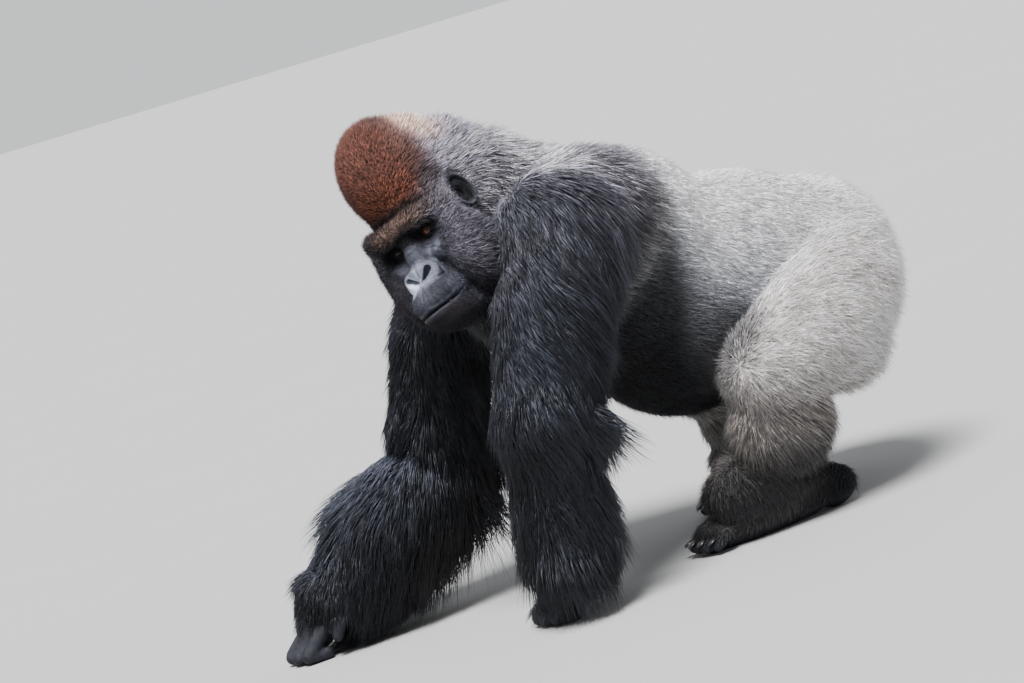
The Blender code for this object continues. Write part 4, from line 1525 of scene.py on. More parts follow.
        upright = 0.12 * self.lift + 0.4 * np.clip(self.lift - 0.6, 0.0, None)
        return start, unit(flat + droop + self.out * upright[:, None])


def coat_reach(share: float = 0.027, floor_gap: float = 0.0015) -> tuple[Point, Point]:
    """How far hair may reach: the box of the solids, grown a little, and just over the floor.

    Args:
        share: the share of each side by which the box grows.
        floor_gap: how far hair stays over the floor, in metres.

    Returns:
        The lowest and the highest corner.
    """
    low, high = np.array(CAD_BOX[0]), np.array(CAD_BOX[1])
    grown = (high - low) * share
    return (low[0] - grown[0], low[1] - grown[1], floor_gap), tuple(high + grown)


class Wiring:
    """A node tree under construction."""

    def __init__(self, tree: bpy.types.NodeTree) -> None:
        """Keeps the tree."""
        self.tree = tree

    def node(self, kind: str, inputs: dict | None = None, **settings: object) -> bpy.types.Node:
        """Adds a node.

        Args:
            kind: its type.
            inputs: values or sockets by the name or number of its inputs.
            settings: its own properties.

        Returns:
            The node.
        """
        made = self.tree.nodes.new(kind)
        for name, value in settings.items():
            setattr(made, name, value)
        for name, value in (inputs or {}).items():
            self.feed(made, name, value)
        return made

    def feed(self, node: bpy.types.Node, name: str | int, value: object) -> None:
        """Gives an enabled input a socket or a value.

        Args:
            node: the node.
            name: the input's name or number.
            value: a socket or a plain value.
        """
        if isinstance(name, int):
            target = node.inputs[name]
        else:
            target = next(one for one in node.inputs if one.name == name and one.enabled)
        if isinstance(value, Socket):
            self.tree.links.new(value, target)
        else:
            target.default_value = value

    def result(self, node: bpy.types.Node, name: str | None = None) -> Socket:
        """An enabled output of a node, the first one if it isn't named."""
        return next(one for one in node.outputs if one.enabled and name in (None, one.name))


class Grower(Wiring):
    """A geometry node tree under construction."""

    def __init__(self, name: str) -> None:
        """Starts an empty tree."""
        super().__init__(bpy.data.node_groups.new(name, "GeometryNodeTree"))

    def inlet(self, name: str, kind: str, value: object = None) -> str:
        """Adds a named input and returns its identifier.

        Args:
            name: the input's name.
            kind: its socket type.
            value: its default, if it has one.

        Returns:
            The identifier.
        """
        socket = self.tree.interface.new_socket(name=name, in_out="INPUT", socket_type=kind)
        if value is not None:
            socket.default_value = value
        return socket.identifier

    def outlet(self, name: str) -> None:
        """Adds the geometry output."""
        self.tree.interface.new_socket(name=name, in_out="OUTPUT", socket_type="NodeSocketGeometry")

    def attribute(self, name: str, kind: str = "FLOAT_VECTOR") -> Socket:
        """A named attribute."""
        return self.result(self.node("GeometryNodeInputNamedAttribute", {"Name": name}, data_type=kind))

    def vector(self, operation: str, *values: object) -> Socket:
        """Vector arithmetic; SCALE takes its factor second.

        Args:
            operation: what is done.
            values: sockets or plain values.

        Returns:
            The result.
        """
        made = self.node("ShaderNodeVectorMath", operation=operation)
        for number, value in enumerate(values):
            target = "Scale" if operation == "SCALE" and number == 1 else number
            self.feed(made, target, value)
        return self.result(made)

    def number(self, operation: str, *values: object) -> Socket:
        """Arithmetic on numbers."""
        return self.result(self.node("ShaderNodeMath", dict(enumerate(values)), operation=operation))

    def axes(self, vector: Socket) -> bpy.types.bpy_prop_collection:
        """The three numbers of a vector."""
        return self.node("ShaderNodeSeparateXYZ", {"Vector": vector}).outputs

    def store(self, onto: Socket, name: str, value: object, kind: str = "FLOAT_VECTOR",
              domain: str = "POINT") -> Socket:
        """Stores an attribute.

        Args:
            onto: the geometry.
            name: the attribute's name.
            value: a socket or a plain value.
            kind: its type.
            domain: what it is stored on.

        Returns:
            The geometry with it.
        """
        inputs = {"Geometry": onto, "Name": name, "Value": value}
        settings = {"data_type": kind, "domain": domain}
        return self.result(self.node("GeometryNodeStoreNamedAttribute", inputs, **settings))


@dataclass(frozen=True)
class Tuft:
    """A thin closed tuft of unit length along y, unit width along x and its ridge towards z.

    Args:
        name: the name of its mesh.
        rings: for each ring, how far along it is and how wide.
        blunt: whether it starts with a flat end in place of a point.
        ridge: how high its ridge stands over the skin's side, in widths.
        belly: how far it reaches the other way.
        root_depth: how far a pointed root is sunk.
    """

    name: str
    rings: tuple[tuple[float, float], ...]
    blunt: bool = False
    ridge: float = 0.55
    belly: float = 0.12
    root_depth: float = 0.05

    def build(self) -> bpy.types.Object:
        """Makes the tuft as an object outside the scene.

        Returns:
            The object.
        """
        clay = bmesh.new()
        corners = ((-0.5, -self.belly), (0.5, -self.belly), (0.0, self.ridge))
        rings = [
            [clay.verts.new((x * width, along, z * width)) for x, z in corners] for along, width in self.rings
        ]
        for last, ring in zip(rings, rings[1:]):
            for first in range(3):
                second = (first + 1) % 3
                clay.faces.new((last[first], last[second], ring[second]))
                clay.faces.new((last[first], ring[second], ring[first]))
        if self.blunt:
            clay.faces.new(rings[0])
        else:
            root = clay.verts.new((0.0, 0.0, -self.root_depth))
            for first in range(3):
                clay.faces.new((root, rings[0][first], rings[0][(first + 1) % 3]))
        tip = clay.verts.new((0.0, 1.0, 0.0))
        for first in range(3):
            clay.faces.new((rings[-1][first], rings[-1][(first + 1) % 3], tip))
        bmesh.ops.recalc_face_normals(clay, faces=clay.faces)
        mesh = fired(self.name, clay)
        mesh.shade_smooth()
        return bpy.data.objects.new(self.name, mesh)


HAIR = Tuft("hair_tuft", ((0.36, 1.0),))
SPIKE = Tuft("short_tuft", ((0.0, 1.0),), blunt=True)


class CoatTree:
    """The node tree that grows tufts over a piece of skin along the lie of the coat."""

    uv_size = 0.003
    uv_fill = 0.9
    root_stray = 0.6
    tip_shade = 1.25
    least_shade = 0.08

    def __init__(self) -> None:
        """Builds the tree and keeps its inputs' identifiers."""
        self.w = w = Grower("coat")
        self.tree = w.tree
        w.inlet("Skin", "NodeSocketGeometry")
        self.tuft = w.inlet("Tuft", "NodeSocketObject")
        self.amount = w.inlet("Amount", "NodeSocketFloat", 1.0)
        self.lock_scale = w.inlet("Locks to a metre", "NodeSocketFloat", 60.0)
        self.contrast = w.inlet("Lock contrast", "NodeSocketFloat", 0.5)
        self.root_shade = w.inlet("Shade at the root", "NodeSocketFloat", 0.45)
        w.inlet("Length variation", "NodeSocketFloat", 0.5)
        low, high = coat_reach()
        w.inlet("Low reach", "NodeSocketVector", low)
        w.inlet("High reach", "NodeSocketVector", high)
        self.seed = w.inlet("Seed", "NodeSocketInt", SEED)
        self.finish = w.inlet("Finish", "NodeSocketMaterial")
        w.outlet("Coat")
        self.given = w.node("NodeGroupInput").outputs
        tufts = self.scattered()
        self.root = w.attribute("root")
        self.chance = w.attribute("chance")
        self.dice = w.axes(self.chance)
        spot = w.vector("SUBTRACT", w.result(w.node("GeometryNodeInputPosition")), self.root)
        self.across, self.along, self.ridge = w.axes(spot)
        inputs = {"Vector": self.root, "Scale": self.given["Locks to a metre"]}
        self.cell = w.node("ShaderNodeTexVoronoi", inputs, feature="F1")
        tufts = w.store(tufts, "OFBake", self.unwrapped(), "FLOAT2", "CORNER")
        tufts = w.store(tufts, "shade", self.shade(), "FLOAT")
        place = w.vector("MAXIMUM", self.place(), self.given["Low reach"])
        place = w.vector("MINIMUM", place, self.given["High reach"])
        moved = w.result(w.node("GeometryNodeSetPosition", {"Geometry": tufts, "Position": place}))
        done = w.node("GeometryNodeSetMaterial", {"Geometry": moved, "Material": self.given["Finish"]})
        w.node("NodeGroupOutput", {"Coat": w.result(done)})

    def scattered(self) -> Socket:
        """Tufts as one mesh, each unturned at its root, with the root and a chance vector stored.

        Returns:
            The mesh.
        """
        w, given = self.w, self.given
        density = w.number("MULTIPLY", w.attribute("density", "FLOAT"), given["Amount"])
        inputs = {"Mesh": given["Skin"], "Density": density, "Seed": given["Seed"]}
        spread = w.node("GeometryNodeDistributePointsOnFaces", inputs, distribute_method="RANDOM")
        where = w.result(w.node("GeometryNodeInputPosition"))
        roots = w.store(w.result(spread, "Points"), "root", where)
        inputs = {"Min": (-1.0, -1.0, -1.0), "Max": (1.0, 1.0, 1.0), "Seed": given["Seed"]}
        chance = w.node("FunctionNodeRandomValue", inputs, data_type="FLOAT_VECTOR")
        roots = w.store(roots, "chance", w.result(chance))
        tuft = w.node("GeometryNodeObjectInfo", {"Object": given["Tuft"]}, transform_space="ORIGINAL")
        inputs = {"Points": roots, "Instance": w.result(tuft, "Geometry")}
        each = w.node("GeometryNodeInstanceOnPoints", inputs)
        return w.result(w.node("GeometryNodeRealizeInstances", {"Geometry": w.result(each)}))

    def place(self) -> Socket:
        """Where each point goes: along the tuft's bent course, drawn towards its lock.

        Returns:
            The place.
        """
        w = self.w
        length, width, stray = w.axes(w.attribute("size"))
        vary = w.number("MULTIPLY_ADD", self.dice[0], self.given["Length variation"], 1.0)
        length = w.number("MULTIPLY", length, vary)
        off = w.vector("SCALE", self.chance, stray)
        start = w.vector("ADD", w.attribute("start"), w.vector("SCALE", off, self.root_stray))
        end = w.vector("ADD", w.attribute("end"), off)
        out = w.attribute("out")
        square = w.number("MULTIPLY", self.along, self.along)
        bend = w.vector("SCALE", w.vector("SUBTRACT", end, start), w.number("MULTIPLY", square, 0.5))
        course = w.vector("ADD", w.vector("SCALE", start, self.along), bend)
        course = w.vector("SCALE", course, length)
        inward = w.vector("SUBTRACT", w.result(self.cell, "Position"), self.root)
        rise = w.node("ShaderNodeVectorMath", {0: inward, 1: out}, operation="DOT_PRODUCT")
        inward = w.vector("SUBTRACT", inward, w.vector("SCALE", out, w.result(rise, "Value")))
        gather = w.number("MULTIPLY", square, w.attribute("pull", "FLOAT"))
        course = w.vector("ADD", course, w.vector("SCALE", inward, gather))
        side = w.vector("NORMALIZE", w.vector("CROSS_PRODUCT", start, out))
        up = w.vector("NORMALIZE", w.vector("CROSS_PRODUCT", side, start))
        body = w.vector("SCALE", side, w.number("MULTIPLY", self.across, width))
        body = w.vector("ADD", body, w.vector("SCALE", up, w.number("MULTIPLY", self.ridge, width)))
        return w.vector("ADD", self.root, w.vector("ADD", course, body))

    def unwrapped(self) -> Socket:
        """The tuft's small patch at its root's place on the skin's unwrap.

        Returns:
            The place on the unwrap.
        """
        w = self.w
        spot = w.result(w.node("ShaderNodeCombineXYZ", {0: self.across, 1: self.along, 2: 0.0}))
        corner = w.vector("SUBTRACT", w.attribute("unwrap"), (0.0, self.uv_size / 2.0, 0.0))
        return w.vector("ADD", w.vector("SCALE", spot, self.uv_size * self.uv_fill), corner)

    def shade(self) -> Socket:
        """How light each point is: by its height on the tuft, its lock and chance.

        Returns:
            The shade, about 1 in the middle.
        """
        w = self.w
        lot = w.number("MULTIPLY_ADD", self.dice[1], 0.5, 0.5)
        lot = w.number("MULTIPLY_ADD", w.number("POWER", lot, 3.0), 4.0, -1.0)
        speck = w.number("MULTIPLY_ADD", lot, w.attribute("grizzle", "FLOAT"), 1.0)
        lock = w.axes(w.result(self.cell, "Color"))
        tone = w.number("SUBTRACT", w.number("MULTIPLY", lock[0], 2.0), 1.0)
        tone = w.number("MULTIPLY_ADD", tone, self.given["Lock contrast"], 1.0)
        speck, tone = (w.number("MAXIMUM", value, self.least_shade) for value in (speck, tone))
        root = self.given["Shade at the root"]
        rise = w.number("SUBTRACT", self.tip_shade, root)
        shade = w.number("MULTIPLY_ADD", self.along, rise, root)
        return w.number("MULTIPLY", shade, w.number("MULTIPLY", speck, tone))

    def grow(self, patch: bpy.types.Object, tuft: bpy.types.Object, style: "CoatStyle", amount: float,
             seed: int, finish: bpy.types.Material) -> bpy.types.Mesh:
        """Grows the coat of one piece of skin.

        Args:
            patch: the piece of skin with the coat's attributes; it is removed.
            tuft: the tuft to repeat.
            style: its locks and shades.
            amount: the share of the given density.
            seed: the seed of everything random.
            finish: the coat's material.

        Returns:
            The tufts as one plain mesh.
        """
        modifier = patch.modifiers.new("coat", "NODES")
        modifier.node_group = self.tree
        modifier[self.tuft] = tuft
        modifier[self.amount] = amount
        modifier[self.lock_scale] = style.locks
        modifier[self.contrast] = style.contrast
        modifier[self.root_shade] = style.root_shade
        modifier[self.seed] = seed
        modifier[self.finish] = finish
        return settled(patch)


class Paint(Wiring):
    """A shader tree under construction."""

    def __init__(self, name: str) -> None:
        """Starts a material with one Principled shader.

        Args:
            name: the material's name.
        """
        self.material = bpy.data.materials.new(name)
        self.material.use_nodes = True
        super().__init__(self.material.node_tree)
        self.shader = self.tree.nodes["Principled BSDF"]
        self.place = self.node("ShaderNodeTexCoord").outputs["Object"]

    def set(self, **values: object) -> None:
        """Sets constant inputs of the shader; underscores stand for spaces."""
        for name, value in values.items():
            self.shader.inputs[name.replace("_", " ")].default_value = value

    def link(self, socket: Socket, *names: str) -> None:
        """Feeds inputs of the shader.

        Args:
            socket: what they take.
            names: their names.
        """
        for name in names:
            self.tree.links.new(socket, self.shader.inputs[name])

    def attribute(self, name: str, output: str = "Fac") -> Socket:
        """A mesh attribute."""
        return self.node("ShaderNodeAttribute", attribute_name=name).outputs[output]

    def grey(self, value: Socket) -> Socket:
        """A number as a grey."""
        parts = dict.fromkeys(("Red", "Green", "Blue"), value)
        return self.node("ShaderNodeCombineColor", parts).outputs[0]

    def mix(self, factor: object, first: object, second: object, blend: str = "MIX") -> Socket:
        """Mixes two colours.

        Args:
            factor: how much of the second colour is used.
            first: a colour or a socket.
            second: a colour or a socket.
            blend: how they are mixed.

        Returns:
            The mixed colour.
        """
        ends = [(*value, 1.0) if isinstance(value, tuple) else value for value in (first, second)]
        inputs = {0: factor, 6: ends[0], 7: ends[1]}
        made = self.node("ShaderNodeMix", inputs, data_type="RGBA", blend_type=blend, clamp_result=True)
        return made.outputs[2]

    def noise(self, scale: float, detail: float = 3.0, rough: float = 0.55) -> Socket:
        """Noise over the object's own coordinates."""
        inputs = {"Vector": self.place, "Scale": scale, "Detail": detail, "Roughness": rough}
        return self.node("ShaderNodeTexNoise", inputs).outputs["Fac"]

    def ramp(self, value: Socket, low: float, high: float, *to: float) -> Socket:
        """Maps the range from low to high to another, clamped."""
        inputs = {"Value": value, "From Min": low, "From Max": high, "To Min": to[0], "To Max": to[1]}
        return self.node("ShaderNodeMapRange", inputs).outputs["Result"]


@dataclass(frozen=True)
class CoatFinish:
    """Hair with the markings' colours, darker at the root."""

    name: str
    roughness: float = 0.55
    sheen: float = 0.25
    sheen_tint: Colour = (0.75, 0.8, 1.0)
    specular: float = 0.35
    cloud_scale: float = 26.0
    clouds: tuple[float, float] = (0.82, 1.18)

    def material(self) -> bpy.types.Material:
        """Builds the material.

        Returns:
            The material.
        """
        paint = Paint(self.name)
        markings = paint.attribute("markings", "Color")
        shade = paint.attribute("shade")
        cloud = paint.ramp(paint.noise(self.cloud_scale, 4.0, 0.65), 0.3, 0.7, *self.clouds)
        colour = paint.mix(1.0, markings, paint.grey(shade), "MULTIPLY")
        paint.link(paint.mix(1.0, colour, paint.grey(cloud), "MULTIPLY"), "Base Color")
        paint.set(Roughness=self.roughness, Specular_IOR_Level=self.specular)
        paint.set(Sheen_Weight=self.sheen, Sheen_Roughness=0.45, Sheen_Tint=(*self.sheen_tint, 1.0))
        return paint.material


@dataclass(frozen=True)
class SkinFinish:
    """Bare skin, finely wrinkled, and the darker skin under the hair."""

    name: str = "skin"
    under: tuple[float, float] = (0.65, 0.95)
    blotches: tuple[float, float] = (0.7, 1.25)
    rough_under: float = 0.85
    rough_bare: float = 0.5
    gloss: float = 0.85
    pore_scale: float = 520.0
    pore_share: float = 0.16
    crease_scale: float = 150.0
    relief: float = 0.002

    def material(self) -> bpy.types.Material:
        """Builds the material.

        Returns:
            The material.
        """
        paint = Paint(self.name)
        naked = paint.attribute("naked")
        markings = paint.attribute("markings", "Color")
        tone = paint.node("ShaderNodeSeparateColor", {"Color": markings}).outputs["Green"]
        depth = paint.ramp(tone, 0.0, 0.5, *self.under)
        under = paint.mix(1.0, markings, paint.grey(depth), "MULTIPLY")
        blotch = paint.ramp(paint.noise(70.0, 5.0, 0.6), 0.35, 0.65, *self.blotches)
        bare = paint.mix(1.0, markings, paint.grey(blotch), "MULTIPLY")
        paint.link(paint.mix(naked, under, bare), "Base Color")
        paint.link(paint.ramp(naked, 0.0, 1.0, self.rough_under, self.rough_bare), "Roughness")
        paint.link(paint.ramp(tone, 0.006, 0.12, 0.0, self.gloss), "Coat Weight")
        paint.set(Specular_IOR_Level=0.12, Coat_Roughness=0.3)
        cell = {"Vector": paint.place, "Scale": self.pore_scale}
        cells = paint.node("ShaderNodeTexVoronoi", cell, feature="DISTANCE_TO_EDGE").outputs["Distance"]
        pores = paint.ramp(cells, 0.0, 0.25, 0.0, 1.0)
        crease = {"Vector": paint.place, "Scale": self.crease_scale, "Detail": 3.0, "Roughness": 0.6}
        crease["Distortion"] = 0.6
        creases = paint.node("ShaderNodeTexNoise", crease, noise_type="RIDGED_MULTIFRACTAL")
        creased = paint.ramp(creases.outputs["Fac"], 0.2, 1.2, 1.0, 0.0)
        inputs = {0: pores, 1: self.pore_share, 2: creased}
        height = paint.node("ShaderNodeMath", inputs, operation="MULTIPLY_ADD").outputs[0]
        bump = {"Strength": 1.0, "Distance": self.relief, "Height": height}
        paint.link(paint.node("ShaderNodeBump", bump).outputs["Normal"], "Normal", "Coat Normal")
        return paint.material


@dataclass(frozen=True)
class EyeFinish:
    """A wet brown eye with an amber iris and a dark rim; pupil and iris in degrees."""

    name: str = "eye"
    pupil: float = 15.0
    iris: float = 38.0
    rim: float = 6.0
    amber: tuple[Colour, Colour] = ((0.028, 0.01, 0.006), (0.13, 0.044, 0.018))
    white: tuple[Colour, Colour] = ((0.01, 0.006, 0.005), (0.028, 0.018, 0.014))
    rim_colour: Colour = (0.035, 0.014, 0.008)
    pupil_colour: Colour = (0.003, 0.003, 0.003)

    def material(self) -> bpy.types.Material:
        """Builds the material.

        Returns:
            The material.
        """
        paint = Paint(self.name)
        polar = paint.attribute("polar")
        spokes = {"Vector": paint.attribute("spoke", "Vector"), "Scale": 9.0, "Detail": 3.0}
        fibre = paint.node("ShaderNodeTexNoise", spokes).outputs["Fac"]
        amber = paint.mix(paint.ramp(fibre, 0.35, 0.68, 0.0, 1.0), *self.amber)
        rim = paint.ramp(polar, self.iris - self.rim, self.iris, 0.0, 1.0)
        iris = paint.mix(rim, amber, self.rim_colour)
        white = paint.mix(paint.noise(160.0), *self.white)
        ball = paint.mix(paint.ramp(polar, self.iris - 0.5, self.iris + 2.0, 0.0, 1.0), iris, white)
        inside = paint.ramp(polar, self.pupil - 1.0, self.pupil + 0.6, 1.0, 0.0)
        paint.link(paint.mix(inside, ball, self.pupil_colour), "Base Color")
        paint.set(Roughness=0.25, Coat_Weight=0.28, Coat_Roughness=0.03, Specular_IOR_Level=0.1)
        return paint.material


@dataclass(frozen=True)
class NailFinish:
    """Dark horn, faintly ridged."""

    name: str = "nail"
    horn: tuple[Colour, Colour] = ((0.008, 0.007, 0.007), (0.026, 0.022, 0.021))

    def material(self) -> bpy.types.Material:
        """Builds the material.

        Returns:
            The material.
        """
        paint = Paint(self.name)
        paint.link(paint.mix(paint.noise(180.0), *self.horn), "Base Color")
        paint.link(paint.ramp(paint.noise(300.0), 0.3, 0.7, 0.25, 0.45), "Roughness")
        return paint.material


@dataclass
class Model:
    """What every maker of pieces shares."""

    shift: Array
    skin: Skin
    pelt: Pelt

    def plain_mesh(self, name: str, points: Array, faces: Array) -> bpy.types.Mesh:
        """A smooth mesh of triangles, with points given on the floor's frame.

        Args:
            name: the mesh's name.
            points: its vertices, in floor coordinates.
            faces: three vertices to each.

        Returns:
            The mesh, in the frame's coordinates.
        """
        mesh = bpy.data.meshes.new(name)
        mesh.vertices.add(len(points))
        mesh.vertices.foreach_set("co", (points + self.shift).ravel())
        mesh.loops.add(faces.size)
        mesh.loops.foreach_set("vertex_index", faces.ravel().astype(np.int32))
        mesh.polygons.add(len(faces))
        mesh.polygons.foreach_set("loop_start", np.arange(0, faces.size, 3, dtype=np.int32))
        mesh.polygons.foreach_set("use_smooth", np.ones(len(faces), bool))
        mesh.update(calc_edges=True)
        return mesh


def add_values(mesh: bpy.types.Mesh, name: str, values: Array) -> None:
    """Stores numbers, vectors or colours on the points of a mesh.

    Args:
        mesh: the mesh.
        name: the attribute's name.
        values: a number or a vector for each point.
    """
    if values.ndim == 1:
        mesh.attributes.new(name, "FLOAT", "POINT").data.foreach_set("value", values.astype(np.float32))
    else:
        layer = mesh.attributes.new(name, "FLOAT_VECTOR", "POINT")
        layer.data.foreach_set("vector", values.astype(np.float32).ravel())


def add_colours(mesh: bpy.types.Mesh, name: str, colours: Array) -> None:
    """Stores colours on the points of a mesh."""
    full = np.concatenate([colours, np.ones((len(colours), 1))], axis=1).astype(np.float32)
    mesh.color_attributes.new(name, "FLOAT_COLOR", "POINT").data.foreach_set("color", full.ravel())


@dataclass(frozen=True)
class CoatStyle:
    """How a kind of coat is grown.

    Args:
        tuft: the tuft repeated over it.
        locks: locks to a metre.
        contrast: how much the locks differ in tone.
        root_shade: how light the hair is at its root.
        finish: the look of its hair.
    """

    tuft: Tuft
    locks: float
    contrast: float
    root_shade: float
    finish: CoatFinish


@dataclass(frozen=True)
class CoatPiece:
    """One piece of the coat; its side is 1 for the left, -1 for the right and 0 for both."""

    name: str
    regions: tuple[Region, ...]
    side: int
    most: int
    style: CoatStyle
    slot: str


SHORT_HAIR = CoatFinish("short_hair", roughness=0.7, sheen=0.03, specular=0.15)
SILVER_HAIR = CoatFinish("silver_hair", roughness=0.5, sheen=0.12, sheen_tint=(0.9, 0.93, 1.0))
BLACK_HAIR = CoatFinish(
    "black_hair", roughness=0.5, sheen=0.05, sheen_tint=(0.55, 0.62, 0.85), specular=0.4
)
CROWN_STYLE = CoatStyle(SPIKE, 240.0, 0.4, 0.7, SHORT_HAIR)
FACE_STYLE = CoatStyle(SPIKE, 240.0, 0.35, 0.65, SHORT_HAIR)
MANTLE_STYLE = CoatStyle(SPIKE, 130.0, 0.7, 0.6, SILVER_HAIR)
TRUNK_STYLE = CoatStyle(SPIKE, 130.0, 0.3, 0.8, SILVER_HAIR)
ARM_STYLE = CoatStyle(HAIR, 62.0, 0.6, 0.45, BLACK_HAIR)
LEG_STYLE = CoatStyle(SPIKE, 210.0, 0.5, 0.75, SILVER_HAIR)
TRUNK = (Region.SADDLE, Region.BELLY, Region.RUMP)
ARMS = (Region.ARM, Region.FOREARM, Region.HAND)
LEGS = (Region.THIGH, Region.SHIN, Region.FOOT)
COAT: tuple[CoatPiece, ...] = (
    CoatPiece("coat_crown", (Region.CREST, Region.NAPE), 0, 45000, CROWN_STYLE, "head"),
    CoatPiece("coat_face", (Region.FACE, Region.CHEEK, Region.EAR), 0, 42000, FACE_STYLE, "lower_jaw"),
    CoatPiece("coat_mantle", (Region.NECK,), 0, 34000, MANTLE_STYLE, "neck"),
    CoatPiece("coat_flank_left", TRUNK, 1, 46000, TRUNK_STYLE, "belly"),
    CoatPiece("coat_flank_right", TRUNK, -1, 42000, TRUNK_STYLE, "belly"),
    CoatPiece("coat_arm_left", ARMS, 1, 32500, ARM_STYLE, "upper_arm"),
    CoatPiece("coat_arm_right", ARMS, -1, 31500, ARM_STYLE, "upper_arm"),
    CoatPiece("coat_leg_left", LEGS, 1, 40000, LEG_STYLE, "thigh"),
    CoatPiece("coat_leg_right", LEGS, -1, 29000, LEG_STYLE, "thigh"),
)


@dataclass
class Coat:
    """The whole coat, grown piece by piece over the skin, and its unwrap in tiles."""

    model: Model
    tiles: tuple[int, int] = (3, 2)
    tile: tuple[float, float] = (0.315, 0.475)
    gap: tuple[float, float] = (0.009, 0.0125)

    def unwrap(self, points: Array, faces: Array, out: Array) -> Array:
        """The skin's own unwrap: each face goes to the tile of the side that it looks to.

        Args:
            points: the skin's vertices.
            faces: three vertices to each.
            out: the skin's slope at each vertex.

        Returns:
            The place of each corner of each face on the unwrap.
        """
        look = out[faces].mean(axis=1)
        axis = np.abs(look).argmax(axis=1)
        tile = axis * 2 + (look[np.arange(len(faces)), axis] < 0.0)
        corners = points[faces]
        mapped = np.zeros((len(faces), 3, 3))
        across, over = self.tiles
        for number in range(across * over):
            chosen = tile == number
            if not chosen.any():
                continue
            keep = [other for other in range(3) if other != number // 2]
            flat = corners[chosen][:, :, keep]
            low, high = flat.min(axis=(0, 1)), flat.max(axis=(0, 1))
            scale = (np.array(self.tile) / np.maximum(high - low, 1e-3)).min()
            base = np.array([number % across / across, number // across / over]) + np.array(self.gap)
            mapped[chosen, :, :2] = (flat - low) * scale + base
        return mapped

    def patch_of(self, piece: CoatPiece) -> tuple[bpy.types.Object, float]:
        """The skin that a piece grows on, with the coat's attributes, and the tufts it asks for.

        Args:
            piece: the piece of the coat.

        Returns:
            The patch and the number of tufts that its density asks for.
        """
        skin, pelt = self.model.skin, self.model.pelt
        owner = skin.shares[skin.faces].sum(axis=1).argmax(axis=1)
        chosen = np.isin(owner, [region.value for region in piece.regions])
        middle = skin.points[skin.faces][:, :, 0].mean(axis=1)
        if piece.side:
            chosen &= (middle > 0.0) if piece.side > 0 else (middle <= 0.0)
        first, second, third = skin.points[skin.faces[chosen]].transpose(1, 0, 2)
        area = np.linalg.norm(np.cross(second - first, third - first), axis=1) / 2.0
        asked = float((area * pelt.density[skin.faces[chosen]].mean(axis=1)).sum())
        used, faces = np.unique(skin.faces[chosen], return_inverse=True)
        faces = faces.reshape(-1, 3)
        mesh = self.model.plain_mesh(piece.name + "_skin", skin.points[used], faces)
        for name in ("density", "pull", "grizzle", "start", "end", "out"):
            add_values(mesh, name, getattr(pelt, name)[used])
        add_values(mesh, "size", np.stack([pelt.length, pelt.width, pelt.stray], axis=1)[used])
        add_colours(mesh, "markings", pelt.colour[used])
        mapped = self.unwrap(skin.points[used], faces, pelt.out[used])
        layer = mesh.attributes.new("unwrap", "FLOAT_VECTOR", "CORNER")
        layer.data.foreach_set("vector", mapped.astype(np.float32).ravel())
        return linked(piece.name + "_skin", mesh), asked

    def build(self) -> list[bpy.types.Object]:
        """Grows every piece.

        Returns:
            The pieces.
        """
        tree = CoatTree()
        tufts = {tuft.name: tuft.build() for tuft in (HAIR, SPIKE)}
        finishes = (SHORT_HAIR, SILVER_HAIR, BLACK_HAIR)
        made_of = {finish.name: finish.material() for finish in finishes}
        pieces = []
        for number, piece in enumerate(COAT):
            patch, asked = self.patch_of(piece)
            amount = min(1.0, piece.most / max(asked, 1.0))
            style = piece.style
            tuft, finish = tufts[style.tuft.name], made_of[style.finish.name]
            mesh = tree.grow(patch, tuft, style, amount, SEED + number, finish)
            made = linked(piece.name, mesh)
            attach(made, "root")
            faces = len(mesh.polygons)
            LOG.info("%s: %d tufts asked, share %.2f, %d faces", piece.name, asked, amount, faces)
            pieces.append(made)
        for tuft in tufts.values():
            bpy.data.objects.remove(tuft)
        return pieces


@dataclass
class SkinPiece:
    """The skin as a piece of the scene."""

    model: Model

    def build(self) -> bpy.types.Object:
        """Makes the skin's object; it stands for every node of flesh.

        Returns:
            The object.
        """
        skin, pelt = self.model.skin, self.model.pelt
        mesh = self.model.plain_mesh("skin", skin.points, skin.faces)
        add_colours(mesh, "markings", pelt.colour)
        add_values(mesh, "naked", pelt.naked)
        mesh.materials.append(SkinFinish().material())
        made = linked("skin", mesh)
        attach(made, "root")
        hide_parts(*[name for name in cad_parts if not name.startswith("eye")])
        LOG.info("skin: %d triangles", len(mesh.polygons))
        return made


